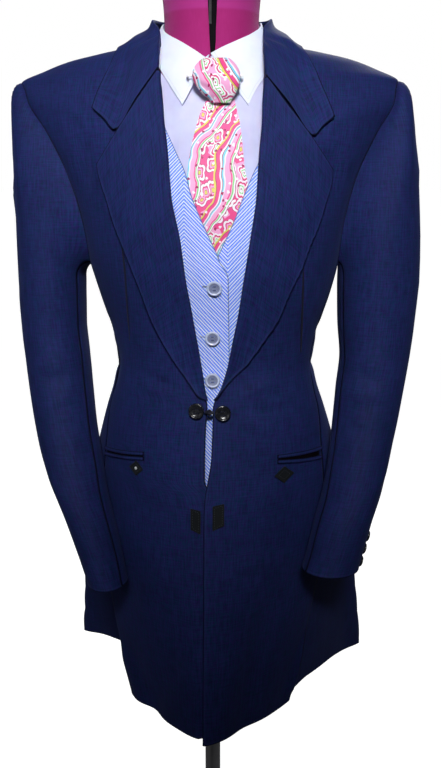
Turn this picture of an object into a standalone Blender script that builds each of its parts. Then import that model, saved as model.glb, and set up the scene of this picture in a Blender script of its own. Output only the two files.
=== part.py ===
"""A day suit on a limbless dress form: long coat, waistcoat, shirt and tie.

Metres, +Z up. The front of the suit faces -Y, and "left" is the side at -X, as seen from the front.
The origin is the middle of the stand's underside.
"""
import math

import bmesh
import bpy
from mathutils import Vector

MM = 0.001

# Walls and gaps
COAT_WALL = 2.0 * MM
COLLAR_WALL = 1.8 * MM
STAND_WALL = 1.6 * MM
WAISTCOAT_WALL = 1.6 * MM
SHIRT_WALL = 1.2 * MM
LEAF_WALL = 1.0 * MM
TRIM_WALL = 1.0 * MM
WELT_WALL = 1.2 * MM
SLOT_WALL = 1.0 * MM
SEAM_GAP = 0.45 * MM
LAY_GAP = 0.4 * MM
PATCH_GAP = 0.5 * MM
LAPEL_GAP = 0.6 * MM
GORGE_GAP = 1.0 * MM
ARMHOLE_GAP = 1.3 * MM
HEAD_SEAM_GAP = 2.0 * MM
SHOULDER_TIP_GAP = 2.4 * MM
BUTTON_LIFT = 0.8 * MM
# Width of the narrow strip beside a seam, against the column next to it
EDGE_STRIP = 0.12
# Step for reading the direction of a surface
PROBE = 1.0 * MM

# Heights of the coat
HEM_Z = 0.566
HEM_RULE_TOP = 800
ARMHOLE_LOW_Z = 1.140
ARMHOLE_HIGH_Z = 1.362
SHOULDER_TURN = 90.0
ARMHOLE_FRONT_REACH = {"left": 25.0, "right": 17.0}
ARMHOLE_BACK_REACH = 23.0
NECK_EDGE_Z = 1.4085
BACK_SEAM_TOP_Z = 1.240
# Rows of the coat body in mm. Below the armhole all panels share them, above it each has its own.
LOW_HEIGHTS = [566, 612, 660, 710, 760, 812, 850, 872, 892, 922, 954, 986, 1020, 1058, 1096]
FRONT_HEIGHTS = [1172, 1204, 1238, 1272, 1306, 1334, 1352, 1362, 1371, 1379, 1386, 1391, 1396, 1403, 1409]
BACK_HEIGHTS = [1240, 1275, 1308, 1335, 1352, 1362, 1375, 1388, 1399, 1408.5]
RISES_TO_ARMHOLE = (1 / 3, 2 / 3, 1.0)
# Hem: turn from the centre front, then its height on the left and right side, in mm
HEM = [
    (0, 568, 560),
    (25, 565, 561),
    (40, 571, 566),
    (50, 575, 580),
    (62, 574, 578),
    (78, 568, 567),
    (130, 565, 565),
    (180, 560, 560),
]
# Seam between front and side: height in mm, turn from the centre front
SIDE_SEAM = [
    (557, 41.0),
    (640, 46.5),
    (708, 51.0),
    (800, 57.0),
    (870, 60.0),
    (918, 64.0),
    (975, 73.0),
    (1020, 76.0),
    (1060, 77.2),
    (1120, 78.0),
    (1170, 78.0),
]
# Seam between side and back: height in mm, turn from the centre front
BACK_SEAM = [
    (557, 122.0),
    (800, 124.0),
    (900, 129.0),
    (1000, 134.0),
    (1060, 132.0),
    (1140, 124.0),
    (1200, 117.5),
    (1240, 113.0),
]
# Open vents behind the fronts: how far the side panel's front edge lies back and inward at the hem
VENT_TOP_Z = 0.880
VENT_SETBACK = {"left": (124.0 * MM, 18.0 * MM), "right": (12.0 * MM, 6.0 * MM)}
VENT_SPREAD_POWER = 2.6
VENT_FALL_POWER = 1.0
# Flutes of the skirt: turn, height in mm and width in turn
SKIRT_FLUTES = [(84.0, 7.0, 7.0), (106.0, -6.0, 8.0), (128.0, 8.0, 9.0), (152.0, -5.0, 9.0)]

# Body sections in mm, from the hem up. Each is two half ovals that meet at the widest place.
# Columns: height, half width, y of the widest place, front, back, front power, back power
COAT_SECTIONS = [
    (557, 204, 128, 159, 236, 1.24, 2.0),
    (650, 195, 98, 151, 208, 1.38, 2.0),
    (720, 188, 72, 145, 186, 1.50, 2.0),
    (800, 178, 44, 138, 162, 1.65, 2.0),
    (870, 166, 26, 131, 142, 1.80, 2.0),
    (920, 153, 14, 124, 126, 1.90, 2.0),
    (960, 141, 6, 118, 112, 2.00, 2.05),
    (990, 131, 2, 114, 103, 2.10, 2.1),
    (1020, 125, 0, 112, 98, 2.10, 2.1),
    (1060, 131, 0, 115, 100, 2.15, 2.1),
    (1100, 144, 0, 122, 104, 2.15, 2.1),
    (1150, 158, 0, 130, 110, 2.15, 2.1),
    (1200, 170, 0, 131, 114, 2.10, 2.1),
    (1250, 187, 0, 124, 114, 2.00, 2.1),
    (1300, 213, 0, 110, 110, 1.90, 2.0),
    (1340, 234, 2, 97, 104, 1.75, 1.9),
    (1362, 232, 4, 88, 99, 1.65, 1.8),
    (1376, 204, 6, 82, 95, 1.65, 1.8),
    (1388, 172, 8, 76, 90, 1.65, 1.8),
    (1396, 136, 10, 71, 86, 1.70, 1.8),
    (1402, 104, 12, 66, 80, 1.80, 1.9),
    (1412, 74, 12, 62, 76, 2.00, 2.0),
    (1440, 66, 10, 60, 72, 2.00, 2.0),
]
FORM_SECTIONS = [
    (780, 132, 6, 92, 102, 1.9, 2.1),
    (850, 136, 8, 96, 106, 1.9, 2.1),
    (900, 137, 8, 96, 104, 1.9, 2.1),
    (950, 125, 4, 96, 94, 2.0, 2.1),
    (990, 113, 0, 94, 87, 2.1, 2.1),
    (1020, 109, 0, 93, 83, 2.1, 2.1),
    (1060, 115, 0, 96, 85, 2.15, 2.1),
    (1100, 127, 0, 103, 89, 2.15, 2.1),
    (1150, 141, 0, 111, 95, 2.15, 2.1),
    (1200, 151, 0, 112, 99, 2.1, 2.1),
    (1250, 166, 0, 105, 99, 2.0, 2.1),
    (1300, 182, 0, 92, 95, 1.9, 2.0),
    (1335, 186, 2, 78, 88, 1.8, 1.9),
    (1352, 174, 4, 68, 84, 1.7, 1.8),
    (1366, 150, 6, 60, 79, 1.7, 1.8),
    (1378, 114, 6, 55, 72, 1.8, 1.8),
    (1388, 76, 5, 53, 64, 1.9, 1.9),
    (1399, 58, 4, 53, 61, 2.0, 2.0),
    (1420, 57, 4, 53, 61, 2.0, 2.0),
    (1445, 58, 4, 54, 62, 2.0, 2.0),
    (1470, 60, 4, 56, 64, 2.0, 2.0),
    (1500, 60, 4, 56, 64, 2.0, 2.0),
]
# Rows of the form: height and how far the section is changed there, in mm
FORM_ROWS = [
    (780, -20),
    (800, 0),
    (850, 0),
    (900, 0),
    (950, 0),
    (990, 0),
    (1020, 0),
    (1060, 0),
    (1110, 0),
    (1170, 0),
    (1230, 0),
    (1285, 0),
    (1320, 0),
    (1344, 0),
    (1358, 0),
    (1368, 0),
    (1376, 0),
    (1383, 0),
    (1388, 0),
    (1393, 0),
    (1399, 0),
    (1408, 0),
    (1420, 0),
    (1445, 0),
    (1470, 0),
    (1494, 0),
    (1500, -7),
]
# Middle of every section: height and x, in mm
BODY_MIDDLE = [
    (557, 1.0),
    (700, 2.0),
    (870, 4.0),
    (1100, 4.0),
    (1200, 1.0),
    (1300, -3.0),
    (1362, -5.0),
    (1390, -3.0),
    (1412, 0.0),
    (1500, 0.0),
]

# Front edge of each coat front: height, then x on the left and right panel, in mm
FRONT_EDGES = [
    (557, 10.0, -1.7),
    (700, 10.0, -1.5),
    (850, 10.0, -1.2),
    (872, 8.0, 0.0),
    (892, -0.6, 3.4),
    (920, -0.4, 7.6),
    (950, 0.4, 8.6),
    (980, 2.2, 9.0),
    (1004, -2.7, 20.3),
    (1035, -7.7, 29.8),
    (1060, -12.2, 35.2),
    (1095, -18.0, 42.5),
    (1134, -23.8, 48.4),
    (1176, -29.6, 55.3),
    (1226, -39.2, 61.4),
    (1273, -42.9, 64.0),
    (1312, -47.0, 66.1),
    (1351, -51.5, 66.1),
    (1366, -55.3, 66.0),
    (1395, -57.0, 65.8),
    (1412, -59.0, 66.0),
]
# The left front runs on under the right one below the link
UNDERLAP_DROP = 3.4 * MM
UNDERLAP_START_X = -8.0 * MM
UNDERLAP_FULL_X = -3.0 * MM
UNDERLAP_TOP_Z = (0.893, 0.920)

# Outer edge of each lapel, from the link up to its point
LAPEL_EDGES = [
    (993, -9.5, 15.0),
    (1003, -15.5, 21.9),
    (1018, -25.5, 35.0),
    (1031, -34.9, 48.2),
    (1059, -51.6, 67.8),
    (1084, -63.4, 83.8),
    (1117, -74.8, 97.3),
    (1147, -86.0, 111.3),
    (1170, -95.0, 119.3),
    (1191, -103.8, 128.6),
    (1223, -114.0, 138.0),
    (1243, -121.5, 143.4),
    (1258, -125.2, 144.3),
    (1264, -125.6, 143.8),
]
LAPEL_RISES = (0.0, 0.05, 0.11, 0.20, 0.30, 0.40, 0.50, 0.60, 0.70, 0.79, 0.87, 0.94, 1.0)
LAPEL_SHARES = (0.0, 0.20, 0.42, 0.66, 0.84, 1.0)
NOTCH_SHARE = 0.66
LAPEL_ROLL = 5.0 * MM
LAPEL_TIP_Z = {"left": 1264.0, "right": 1258.0}
GORGE_START = {"left": (-55.4, 1365.0), "right": (68.5, 1357.0)}
NOTCH = {"left": (-101.5, 1300.5), "right": (119.3, 1294.4)}
# Outer edge of the coat collar in front of the shoulder: x and height
COLLAR_EDGE = {
    "left": [(-107.0, 1394.0), (-113.4, 1372.6), (-125.3, 1347.0), (-132.3, 1326.0)],
    "right": [(107.0, 1395.0), (118.0, 1378.0), (133.0, 1346.0), (145.9, 1316.0)],
}
# The coat collar round the neck: turn, height of its fold and of its outer edge, in mm
COLLAR_BACK = [
    (180.0, 1447.0, 1396.0),
    (150.0, 1445.5, 1397.0),
    (120.0, 1441.0, 1400.0),
    (90.0, 1435.0, 1402.2),
]
# Its fold in front of the shoulder: y and height
COLLAR_FOLD_FRONT = [(-25.0, 1422.0), (-46.0, 1409.0), (-65.0, 1393.0)]
COLLAR_FOLD_RADIUS = 66.0 * MM
COLLAR_LIFT = COLLAR_WALL + 1.8 * MM
# Extra lift of the collar from its fold to its outer edge
COLLAR_ROLL = (2.4 * MM, 2.0 * MM, 0.4 * MM, 0.0, 0.0)
STAND_RADIUS = 63.4 * MM

# Edge of the waistcoat's opening: height, left and right x, in mm
V_EDGES = [
    (1161, 14.8, 15.2),
    (1199, -2.4, 32.3),
    (1226, -14.2, 42.8),
    (1251, -21.3, 53.0),
    (1275, -32.6, 64.5),
    (1308, -48.5, 75.0),
    (1350, -64.0, 84.0),
    (1372, -74.0, 88.0),
]
V_LOW_Z = 1.161
WAISTCOAT_LAP_X = 26.5 * MM
WAISTCOAT_UNDERLAP_X = 12.0 * MM
WAISTCOAT_LIFT = {"left": 10.8 * MM, "right": 8.4 * MM}
WAISTCOAT_HEIGHTS = (905, 940, 980, 1020, 1060, 1098, 1135, 1161, 1195, 1230, 1265, 1300, 1335, 1360)

# Layers over the form
SHIRT_LIFT = 2.2 * MM
SHIRT_HEIGHTS = (1128, 1160, 1195, 1230, 1265, 1298, 1326, 1348, 1360)
SHIRT_MIDDLE_X = 9.0 * MM
SHIRT_SIDE_X = {"left": -82.0 * MM, "right": 96.0 * MM}
NECK_Y = 4.0 * MM
BAND_RADIUS = 59.4 * MM
BAND_LIFT = 2.4 * MM
LEAF_FOLD_RADIUS = 61.2 * MM
LEAF_LIFT = 4.2 * MM
LEAF_START_TURN = {"left": 4.0, "right": 14.0}
# Lower edge of the shirt collar from its point to the centre back, in mm. No y means on the shirt.
LEAF_LOW = {
    "left": [(-27.5, None, 1327.0), (-41.0, None, 1347.0), (-54.0, None, 1367.0), (-67.0, -34.0, 1391.0),
             (-69.0, 4.0, 1400.0), (-58.0, 44.0, 1402.0), (-31.0, 66.0, 1404.0), (0.0, 73.0, 1404.0)],
    "right": [(47.4, None, 1327.0), (56.0, None, 1345.0), (65.0, None, 1362.0), (70.0, -34.0, 1390.0),
              (69.0, 4.0, 1400.0), (58.0, 44.0, 1402.0), (31.0, 66.0, 1404.0), (0.0, 73.0, 1404.0)],
}
COLLAR_BAR_ENDS = ((-22.1, -77.2, 1362.0), (39.7, -76.6, 1362.0))
COLLAR_BAR_RADIUS = 0.8 * MM
COLLAR_BAR_END = 3.6 * MM
TIE_LIFT = 5.2 * MM
TIE_WALL = 2.6 * MM
TIE_SWELL = 0.5 * MM

# Tie: height, left and right edge of the blade, in mm
TIE_EDGES = [
    (1138, 13.0, 16.0),
    (1178, -9.0, 38.0),
    (1199, -21.0, 48.0),
    (1224, -22.0, 48.5),
    (1241, -20.5, 47.4),
    (1258, -19.5, 44.0),
    (1284, -15.5, 41.2),
    (1301, -11.5, 39.0),
    (1311, -9.0, 37.2),
    (1327, -2.5, 33.0),
    (1331, -0.5, 32.0),
    (1344, 3.0, 30.0),
]
# Knot: height, left and right edge, back and depth, in mm
KNOT_ROWS = [
    (1331, 3.0, 30.0, -85.8, 10.0),
    (1337, 1.0, 31.5, -83.0, 14.0),
    (1350, -8.0, 36.5, -79.2, 17.5),
    (1361, -15.0, 39.0, -78.5, 18.5),
    (1370, -13.0, 34.0, -76.0, 15.5),
    (1378, -5.0, 24.0, -73.0, 10.0),
    (1382, 1.0, 20.0, -71.0, 6.0),
]

# Sleeves in mm from below the armhole down: height, inner and outer x, middle y, half depth
SLEEVES = {
    "left": [
        (1118, 163.0, 247.5, 2, 64),
        (1066, 163.0, 245.0, -3, 58),
        (1028, 159.0, 241.0, -10, 54),
        (987, 153.6, 234.5, -22, 50),
        (936, 145.0, 222.7, -41, 48),
        (898, 136.1, 210.0, -60, 46),
        (864, 126.7, 192.7, -83, 44),
        (835, 117.6, 177.1, -96, 42),
        (796, 106.9, 160.7, -106, 39),
        (757, 98.9, 146.4, -114, 37),
    ],
    "right": [
        (1118, 159.0, 261.5, 2, 64),
        (1065, 160.5, 256.0, -3, 58),
        (1028, 163.0, 251.5, -10, 54),
        (988, 158.8, 244.6, -23, 50),
        (947, 154.7, 236.0, -38, 48),
        (903, 149.0, 225.3, -57, 46),
        (866, 142.4, 215.7, -72, 44),
        (834, 132.9, 203.9, -87, 42),
        (795, 123.6, 192.8, -97, 39),
        (777, 118.1, 187.9, -102, 38),
    ],
}
# How far the outer line of the sleeve head stands off the line below it, at the shoulder
SLEEVE_HEAD_OUT = {"left": 0.5 * MM, "right": -22.0 * MM}
# Share of the sleeve head's height in which it turns from the shoulder into the sleeve
HEAD_TURN_TOP = 0.075
HEAD_TURN_SIDE = 0.75
# Rows of the sleeve head: share of the turn, then of the fall below it
SLEEVE_HEAD_STEPS = ((0.0, 0.0), (0.2, 0.0), (0.42, 0.0), (0.68, 0.0), (1.0, 0.0), (1.0, 0.33), (1.0, 0.67))
SLEEVE_ROWS = 12
FOREARM_SEAM = -62.0
HINDARM_SEAM = 160.0

# Pockets in mm: inner and outer x, then height at the inner and outer end of each welt's top
POCKETS = {
    "left": ((-75.5, -132.5), (920.7, 912.3), (914.7, 905.6)),
    "right": ((85.3, 140.0), (919.6, 916.5), (913.4, 905.5)),
}
WELT_HEIGHT = 5.2 * MM

DIAMONDS = {"left": (-86.3, 898.2, 9.5, 9.5), "right": (94.2, 893.5, 12.0, 10.5)}
DIAMOND_SNAP = (-86.3, 898.2)
EDGE_PATCHES = {
    "left": (-16.8, -4.6, 859.0, 856.5, 833.0, 828.0),
    "right": (9.5, 23.2, 862.5, 865.5, 832.5, 838.5),
}

LINK_BUTTONS = {"left": (-10.6, 975.6), "right": (20.7, 973.3)}
LINK_BUTTON_RADIUS = 9.6 * MM
LINK_BAR_RADIUS = 1.5 * MM
WAISTCOAT_BUTTONS = [(10.8, 1125.0), (8.0, 1064.0), (7.7, 1010.6)]
WAISTCOAT_BUTTON_RADIUS = 9.0 * MM
CUFF_BUTTON_RADIUS = 7.2 * MM
CUFF_BUTTON_AROUND = 114.0
CUFF_BUTTON_LIFT = 0.7 * MM
CUFF_BUTTON_HEIGHTS = {"left": (766.0, 781.0, 796.0), "right": (782.0, 797.0, 812.0)}

# Stand
BASE_RADIUS = 0.190
BASE_HEIGHT = 0.014
POLE_RADIUS = 0.0105
SOCKET_RADIUS = 0.024
SOCKET_HEIGHT = 0.045
# Dark slot down the front of the neck: height and half width, in mm
NECK_SLOT = [(1393, 2.9), (1399, 3.2), (1420, 4.0), (1445, 5.2), (1470, 5.2), (1492, 5.2)]
NECK_SLOT_X = 5.0

COLOURS = {
    "coat_cloth": ((0.016, 0.020, 0.075), 0.85, 0.0),
    "waistcoat_cloth": ((0.25, 0.38, 0.80), 0.85, 0.0),
    "shirt_cloth": ((0.80, 0.80, 0.90), 0.8, 0.0),
    "tie_silk": ((0.85, 0.30, 0.50), 0.5, 0.0),
    "form_cloth": ((0.38, 0.015, 0.17), 0.75, 0.0),
    "black_trim": ((0.01, 0.01, 0.012), 0.5, 0.0),
    "black_button": ((0.012, 0.012, 0.014), 0.3, 0.0),
    "pearl_button": ((0.55, 0.60, 0.70), 0.25, 0.0),
    "stand_metal": ((0.02, 0.02, 0.022), 0.4, 0.8),
    "bright_metal": ((0.80, 0.80, 0.82), 0.2, 1.0),
}


def clear_scene():
    for old in list(bpy.data.objects):
        bpy.data.objects.remove(old, do_unlink=True)


def make_materials():
    made = {}
    for name, (colour, roughness, metallic) in COLOURS.items():
        material = bpy.data.materials.new(name)
        material.use_nodes = True
        shader = material.node_tree.nodes["Principled BSDF"]
        shader.inputs["Base Color"].default_value = (*colour, 1.0)
        shader.inputs["Roughness"].default_value = roughness
        shader.inputs["Metallic"].default_value = metallic
        made[name] = material
    return made


def row_at(rows, key):
    """Every column after the first, read at one value of the first by a cubic that doesn't overshoot."""
    ordered = rows if rows[0][0] < rows[-1][0] else rows[::-1]
    keys = [row[0] for row in ordered]
    key = min(max(key, keys[0]), keys[-1])
    low = max(i for i in range(len(keys) - 1) if keys[i] <= key)
    span = keys[low + 1] - keys[low]
    part = (key - keys[low]) / span

    def slope(at, column):
        if at in (0, len(keys) - 1):
            near = 0 if at == 0 else at - 1
            return (ordered[near + 1][column] - ordered[near][column]) / (keys[near + 1] - keys[near])
        before = (ordered[at][column] - ordered[at - 1][column]) / (keys[at] - keys[at - 1])
        after = (ordered[at + 1][column] - ordered[at][column]) / (keys[at + 1] - keys[at])
        return 0.0 if before * after <= 0 else 2 * before * after / (before + after)

    values = []
    for column in range(1, len(ordered[0])):
        start, end = ordered[low][column], ordered[low + 1][column]
        rise = (2 * part ** 3 - 3 * part ** 2 + 1) * start + (3 * part ** 2 - 2 * part ** 3) * end
        bend = (part ** 3 - 2 * part ** 2 + part) * slope(low, column) * span
        bend += (part ** 3 - part ** 2) * slope(low + 1, column) * span
        values.append(rise + bend)
    return values


def section(rows, z):
    half_width, widest_y, front, back, front_power, back_power = row_at(rows, z / MM)
    return half_width * MM, widest_y * MM, front * MM, back * MM, front_power, back_power


def body_middle(z):
    return row_at(BODY_MIDDLE, z / MM)[0] * MM


def on_ring(rows, turn, z, lift=0.0):
    """Point on a body section. The turn is in degrees from the centre front, negative to the left."""
    half_width, widest_y, front, back, front_power, back_power = section(rows, z)
    side = -1.0 if turn < 0 else 1.0
    angle = math.radians(min(abs(turn), 180.0))
    power = front_power if angle <= math.pi / 2 else back_power
    reach = (half_width + lift) * max(math.sin(angle), 0.0) ** (2 / power)
    depth = abs(math.cos(angle)) ** (2 / power)
    if angle <= math.pi / 2:
        y = widest_y - (front + widest_y + lift) * depth
    else:
        y = widest_y + (back - widest_y + lift) * depth
    return Vector((body_middle(z) + side * reach, y, z))


def turn_of_x(rows, x, z):
    """Turn of the point of the front half that has this x."""
    half_width, _, _, _, power, _ = section(rows, z)
    share = min(abs(x - body_middle(z)) / half_width, 1.0)
    turn = math.degrees(math.asin(share ** (power / 2)))
    return -turn if x < body_middle(z) else turn


def on_front(rows, x, z, lift=0.0):
    """Point of the front half at this x and height."""
    half_width, widest_y, front, _, power, _ = section(rows, z)
    share = min(abs(x - body_middle(z)) / (half_width + lift), 1.0)
    y = widest_y - (front + widest_y + lift) * (1 - share ** power) ** (1 / power)
    return Vector((x, y, z))


def facing_of(surface, a, z, step):
    """Outward direction of a surface, given by its point function, at a and z."""
    along = surface(a + step, z) - surface(a - step, z)
    up = surface(a, z + PROBE) - surface(a, z - PROBE)
    return along.cross(up).normalized()


def off_front(surface, x, z, lift):
    """Point lifted squarely off the front of a surface that is given by x and height."""
    return surface(x, z) + facing_of(surface, x, z, PROBE) * lift


def off_ring(surface, turn, z, lift):
    """Point lifted squarely off a surface that is given by turn and height."""
    return surface(turn, z) + facing_of(surface, turn, z, 1.0) * lift


def relative_size(rows, point):
    """Size of this point's own section against the surface's, 1 on the surface."""
    half_width, widest_y, front, back, front_power, back_power = section(rows, point.z)
    across_share = abs(point.x - body_middle(point.z)) / half_width
    if point.y < widest_y:
        power = front_power
        depth_share = (widest_y - point.y) / (front + widest_y)
    else:
        power = back_power
        depth_share = (point.y - widest_y) / (back - widest_y)
    return (across_share ** power + depth_share ** power) ** (1 / power)


def held_off(rows, point, lift):
    """The point, moved out where it is nearer to the surface than the lift."""
    for _ in range(5):
        slope = Vector([relative_size(rows, point + axis) - relative_size(rows, point - axis)
                        for axis in (Vector((PROBE, 0, 0)), Vector((0, PROBE, 0)), Vector((0, 0, PROBE)))])
        slope = slope / (2 * PROBE)
        distance = (relative_size(rows, point) - 1.0) / slope.length
        if distance >= lift:
            break
        point = point + slope.normalized() * (lift - distance)
    return point


def spread(start, end, count):
    return [start + (end - start) * i / (count - 1) for i in range(count)]


def across(start, end, share):
    return start + (end - start) * share


def eased(share):
    """0 to 1 with level ends."""
    share = min(max(share, 0.0), 1.0)
    return share * share * (3 - 2 * share)


def smooth_along(points, count):
    """Points evenly along a smooth curve through the given ones."""
    made = []
    last = len(points) - 1
    for i in range(count):
        place = i * last / (count - 1)
        k = min(int(place), last - 1)
        t = place - k
        a, b = points[k], points[k + 1]
        before = points[k - 1] if k > 0 else 2 * a - b
        after = points[k + 2] if k + 2 <= last else 2 * b - a
        made.append(0.5 * ((2 * a) + (b - before) * t + (2 * before - 5 * a + 4 * b - after) * t ** 2
                           + (3 * a - before - 3 * b + after) * t ** 3))
    return made


def body_axis(point):
    return Vector((body_middle(point.z), 0.02, point.z))


def new_object(name, mesh, material):
    mesh.materials.append(material)
    made = bpy.data.objects.new(name, mesh)
    parts.objects.link(made)
    return made


def add_sheet(name, grid, wall, material, inside=body_axis):
    """An open sheet through rows of points, with its wall on the side that faces inside(point)."""
    shape = bmesh.new()
    verts = [[shape.verts.new(point) for point in row] for row in grid]
    for low, high in zip(verts, verts[1:]):
        for i in range(len(low) - 1):
            shape.faces.new((low[i], low[i + 1], high[i + 1], high[i]))
    shape.normal_update()
    facing = sum(face.normal.dot(face.calc_center_median() - inside(face.calc_center_median()))
                 for face in shape.faces)
    if facing < 0:
        bmesh.ops.reverse_faces(shape, faces=shape.faces[:])
    mesh = bpy.data.meshes.new(name)
    shape.to_mesh(mesh)
    shape.free()
    mesh.shade_smooth()
    made = new_object(name, mesh, material)
    solid = made.modifiers.new("wall", "SOLIDIFY")
    solid.thickness = wall
    solid.offset = -1.0
    return made


def add_loft(name, rings, material):
    """A closed solid through rings of points, with a fan over each end."""
    shape = bmesh.new()
    loops = [[shape.verts.new(point) for point in ring] for ring in rings]
    count = len(rings[0])
    for low, high in zip(loops, loops[1:]):
        for i in range(count):
            shape.faces.new((low[i], low[(i + 1) % count], high[(i + 1) % count], high[i]))
    for ring, loop in ((rings[0], loops[0]), (rings[-1], loops[-1])):
        middle = shape.verts.new(sum((Vector(point) for point in ring), Vector()) / count)
        for i in range(count):
            shape.faces.new((loop[i], loop[(i + 1) % count], middle))
    bmesh.ops.recalc_face_normals(shape, faces=shape.faces[:])
    mesh = bpy.data.meshes.new(name)
    shape.to_mesh(mesh)
    shape.free()
    mesh.shade_smooth()
    return new_object(name, mesh, material)


def add_turned(name, profile, place, facing, material, steps=16):
    """A disc or post turned about its own axis, which is aimed along facing."""
    mesh = bpy.data.meshes.new(name)
    mesh.from_pydata([(radius, 0.0, height) for radius, height in profile],
                     [(i, i + 1) for i in range(len(profile) - 1)], [])
    made = new_object(name, mesh, material)
    made.location = place
    made.rotation_euler = Vector(facing).to_track_quat("Z", "Y").to_euler()
    turn = made.modifiers.new("turn", "SCREW")
    turn.steps = steps
    turn.render_steps = steps
    turn.use_merge_vertices = True
    turn.merge_threshold = 0.00001
    return made


def pair_value(rows, z, side):
    """x in metres of a left and right pair of edges at this height."""
    left, right = row_at(rows, z / MM)
    return (left if side == "left" else right) * MM


def side_sign(side):
    return -1.0 if side == "left" else 1.0


def panel_row(point_at, start, end, count, gap=SEAM_GAP):
    """Points of a panel from seam to seam. Each border is held half a gap clear, beside a narrow strip."""
    places = spread(start, end, count)
    points = [point_at(place) for place in places]
    strip = (places[1] - places[0]) * EDGE_STRIP
    first = point_at(start + strip)
    last = point_at(end - strip)
    points[0] = points[0] + (first - points[0]).normalized() * gap / 2
    points[-1] = points[-1] + (last - points[-1]).normalized() * gap / 2
    return [points[0], first] + points[1:-1] + [last, points[-1]]


# Coat body seams, as turns from the centre front

def armhole_reach(z):
    """How far the armhole is open at this height, from 0 at its ends to 1."""
    middle = (ARMHOLE_LOW_Z + ARMHOLE_HIGH_Z) / 2
    half = (ARMHOLE_HIGH_Z - ARMHOLE_LOW_Z) / 2
    share = min(abs(z - middle) / half, 1.0)
    return (1 - share ** 3) ** (1 / 3)


def armhole_low(turn, side):
    """Height of the armhole's lower edge at this turn."""
    reach = ARMHOLE_FRONT_REACH[side] if turn < SHOULDER_TURN else ARMHOLE_BACK_REACH
    share = min(abs(turn - SHOULDER_TURN) / reach, 1.0)
    middle = (ARMHOLE_LOW_Z + ARMHOLE_HIGH_Z) / 2
    drop = (ARMHOLE_HIGH_Z - ARMHOLE_LOW_Z) / 2 * (1 - share ** 3) ** (1 / 3)
    return min(middle - drop, BACK_SEAM_TOP_Z)


def side_seam(z):
    return row_at(SIDE_SEAM, z / MM)[0]


def back_seam(z):
    return row_at(BACK_SEAM, z / MM)[0]


def hem_z(turn, side):
    left, right = row_at(HEM, abs(turn))
    return (left if side == "left" else right) * MM


def skirt_height(height, turn, side):
    """Height in metres of a row, given in mm, that takes the hem's own line as it nears it."""
    low = LOW_HEIGHTS[0]
    fall = max((HEM_RULE_TOP - height) / (HEM_RULE_TOP - low), 0.0)
    return height * MM + (hem_z(turn, side) - low * MM) * fall


def skirt_wave(turn, z):
    """Soft flutes of the skirt, growing to the hem."""
    fall = min(max((0.93 - z) / (0.93 - HEM_Z), 0.0), 1.0) ** 1.4
    angle = abs(turn)
    ripple = 2.2 * math.sin(math.radians(angle * 9.0 + 20.0)) * min(angle / 25.0, 1.0)
    flutes = sum(height * math.exp(-((angle - place) / width) ** 2) for place, height, width in SKIRT_FLUTES)
    return (ripple + flutes) * MM * fall


def coat_point(turn, z):
    return on_ring(COAT_SECTIONS, turn, z, skirt_wave(turn, z))


def coat_front_base(x, z):
    return on_front(COAT_SECTIONS, x, z, skirt_wave(turn_of_x(COAT_SECTIONS, x, z), z))


def coat_front_point(x, z, lift):
    return off_front(coat_front_base, x, z, lift)


def side_meets_armhole(side):
    return armhole_low(side_seam(ARMHOLE_LOW_Z), side)


def rows_to_armhole(top):
    """Heights in mm of the rows between the lowest shared ones and the top of a panel under the armhole."""
    return [across(LOW_HEIGHTS[-1], top, rise) for rise in RISES_TO_ARMHOLE]


def add_coat_front(side):
    sign = side_sign(side)
    meeting = side_meets_armhole(side)
    grid = []
    for height in LOW_HEIGHTS + rows_to_armhole(meeting / MM) + FRONT_HEIGHTS:
        z = height * MM
        if z >= ARMHOLE_HIGH_Z:
            outer = SHOULDER_TURN
        elif z > meeting:
            outer = SHOULDER_TURN - ARMHOLE_FRONT_REACH[side] * armhole_reach(z)
        else:
            outer = side_seam(z)
        edge_x = pair_value(FRONT_EDGES, z, side)
        under = 0.0
        if side == "left":
            under = eased((UNDERLAP_TOP_Z[1] - z) / (UNDERLAP_TOP_Z[1] - UNDERLAP_TOP_Z[0]))
        drop = Vector((0.0, UNDERLAP_DROP * under, 0.0))
        second_x = across(edge_x + sign * 4.0 * MM, UNDERLAP_FULL_X, under)
        third_x = across(edge_x + sign * 12.0 * MM, UNDERLAP_START_X, under)
        turns = [sign * turn_of_x(COAT_SECTIONS, x, z) for x in (edge_x, second_x, third_x)]

        def point_at(turn):
            return coat_point(sign * turn, skirt_height(height, turn, side))

        row = [point_at(turns[0]) + drop, point_at(turns[1]) + drop, point_at(turns[2])]
        gap = SHOULDER_TIP_GAP if z == ARMHOLE_HIGH_Z else SEAM_GAP
        grid.append(row + panel_row(point_at, turns[2], outer, 8, gap)[2:])
    return add_sheet(f"coat_front_{side}", grid, COAT_WALL, materials["coat_cloth"])


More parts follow.
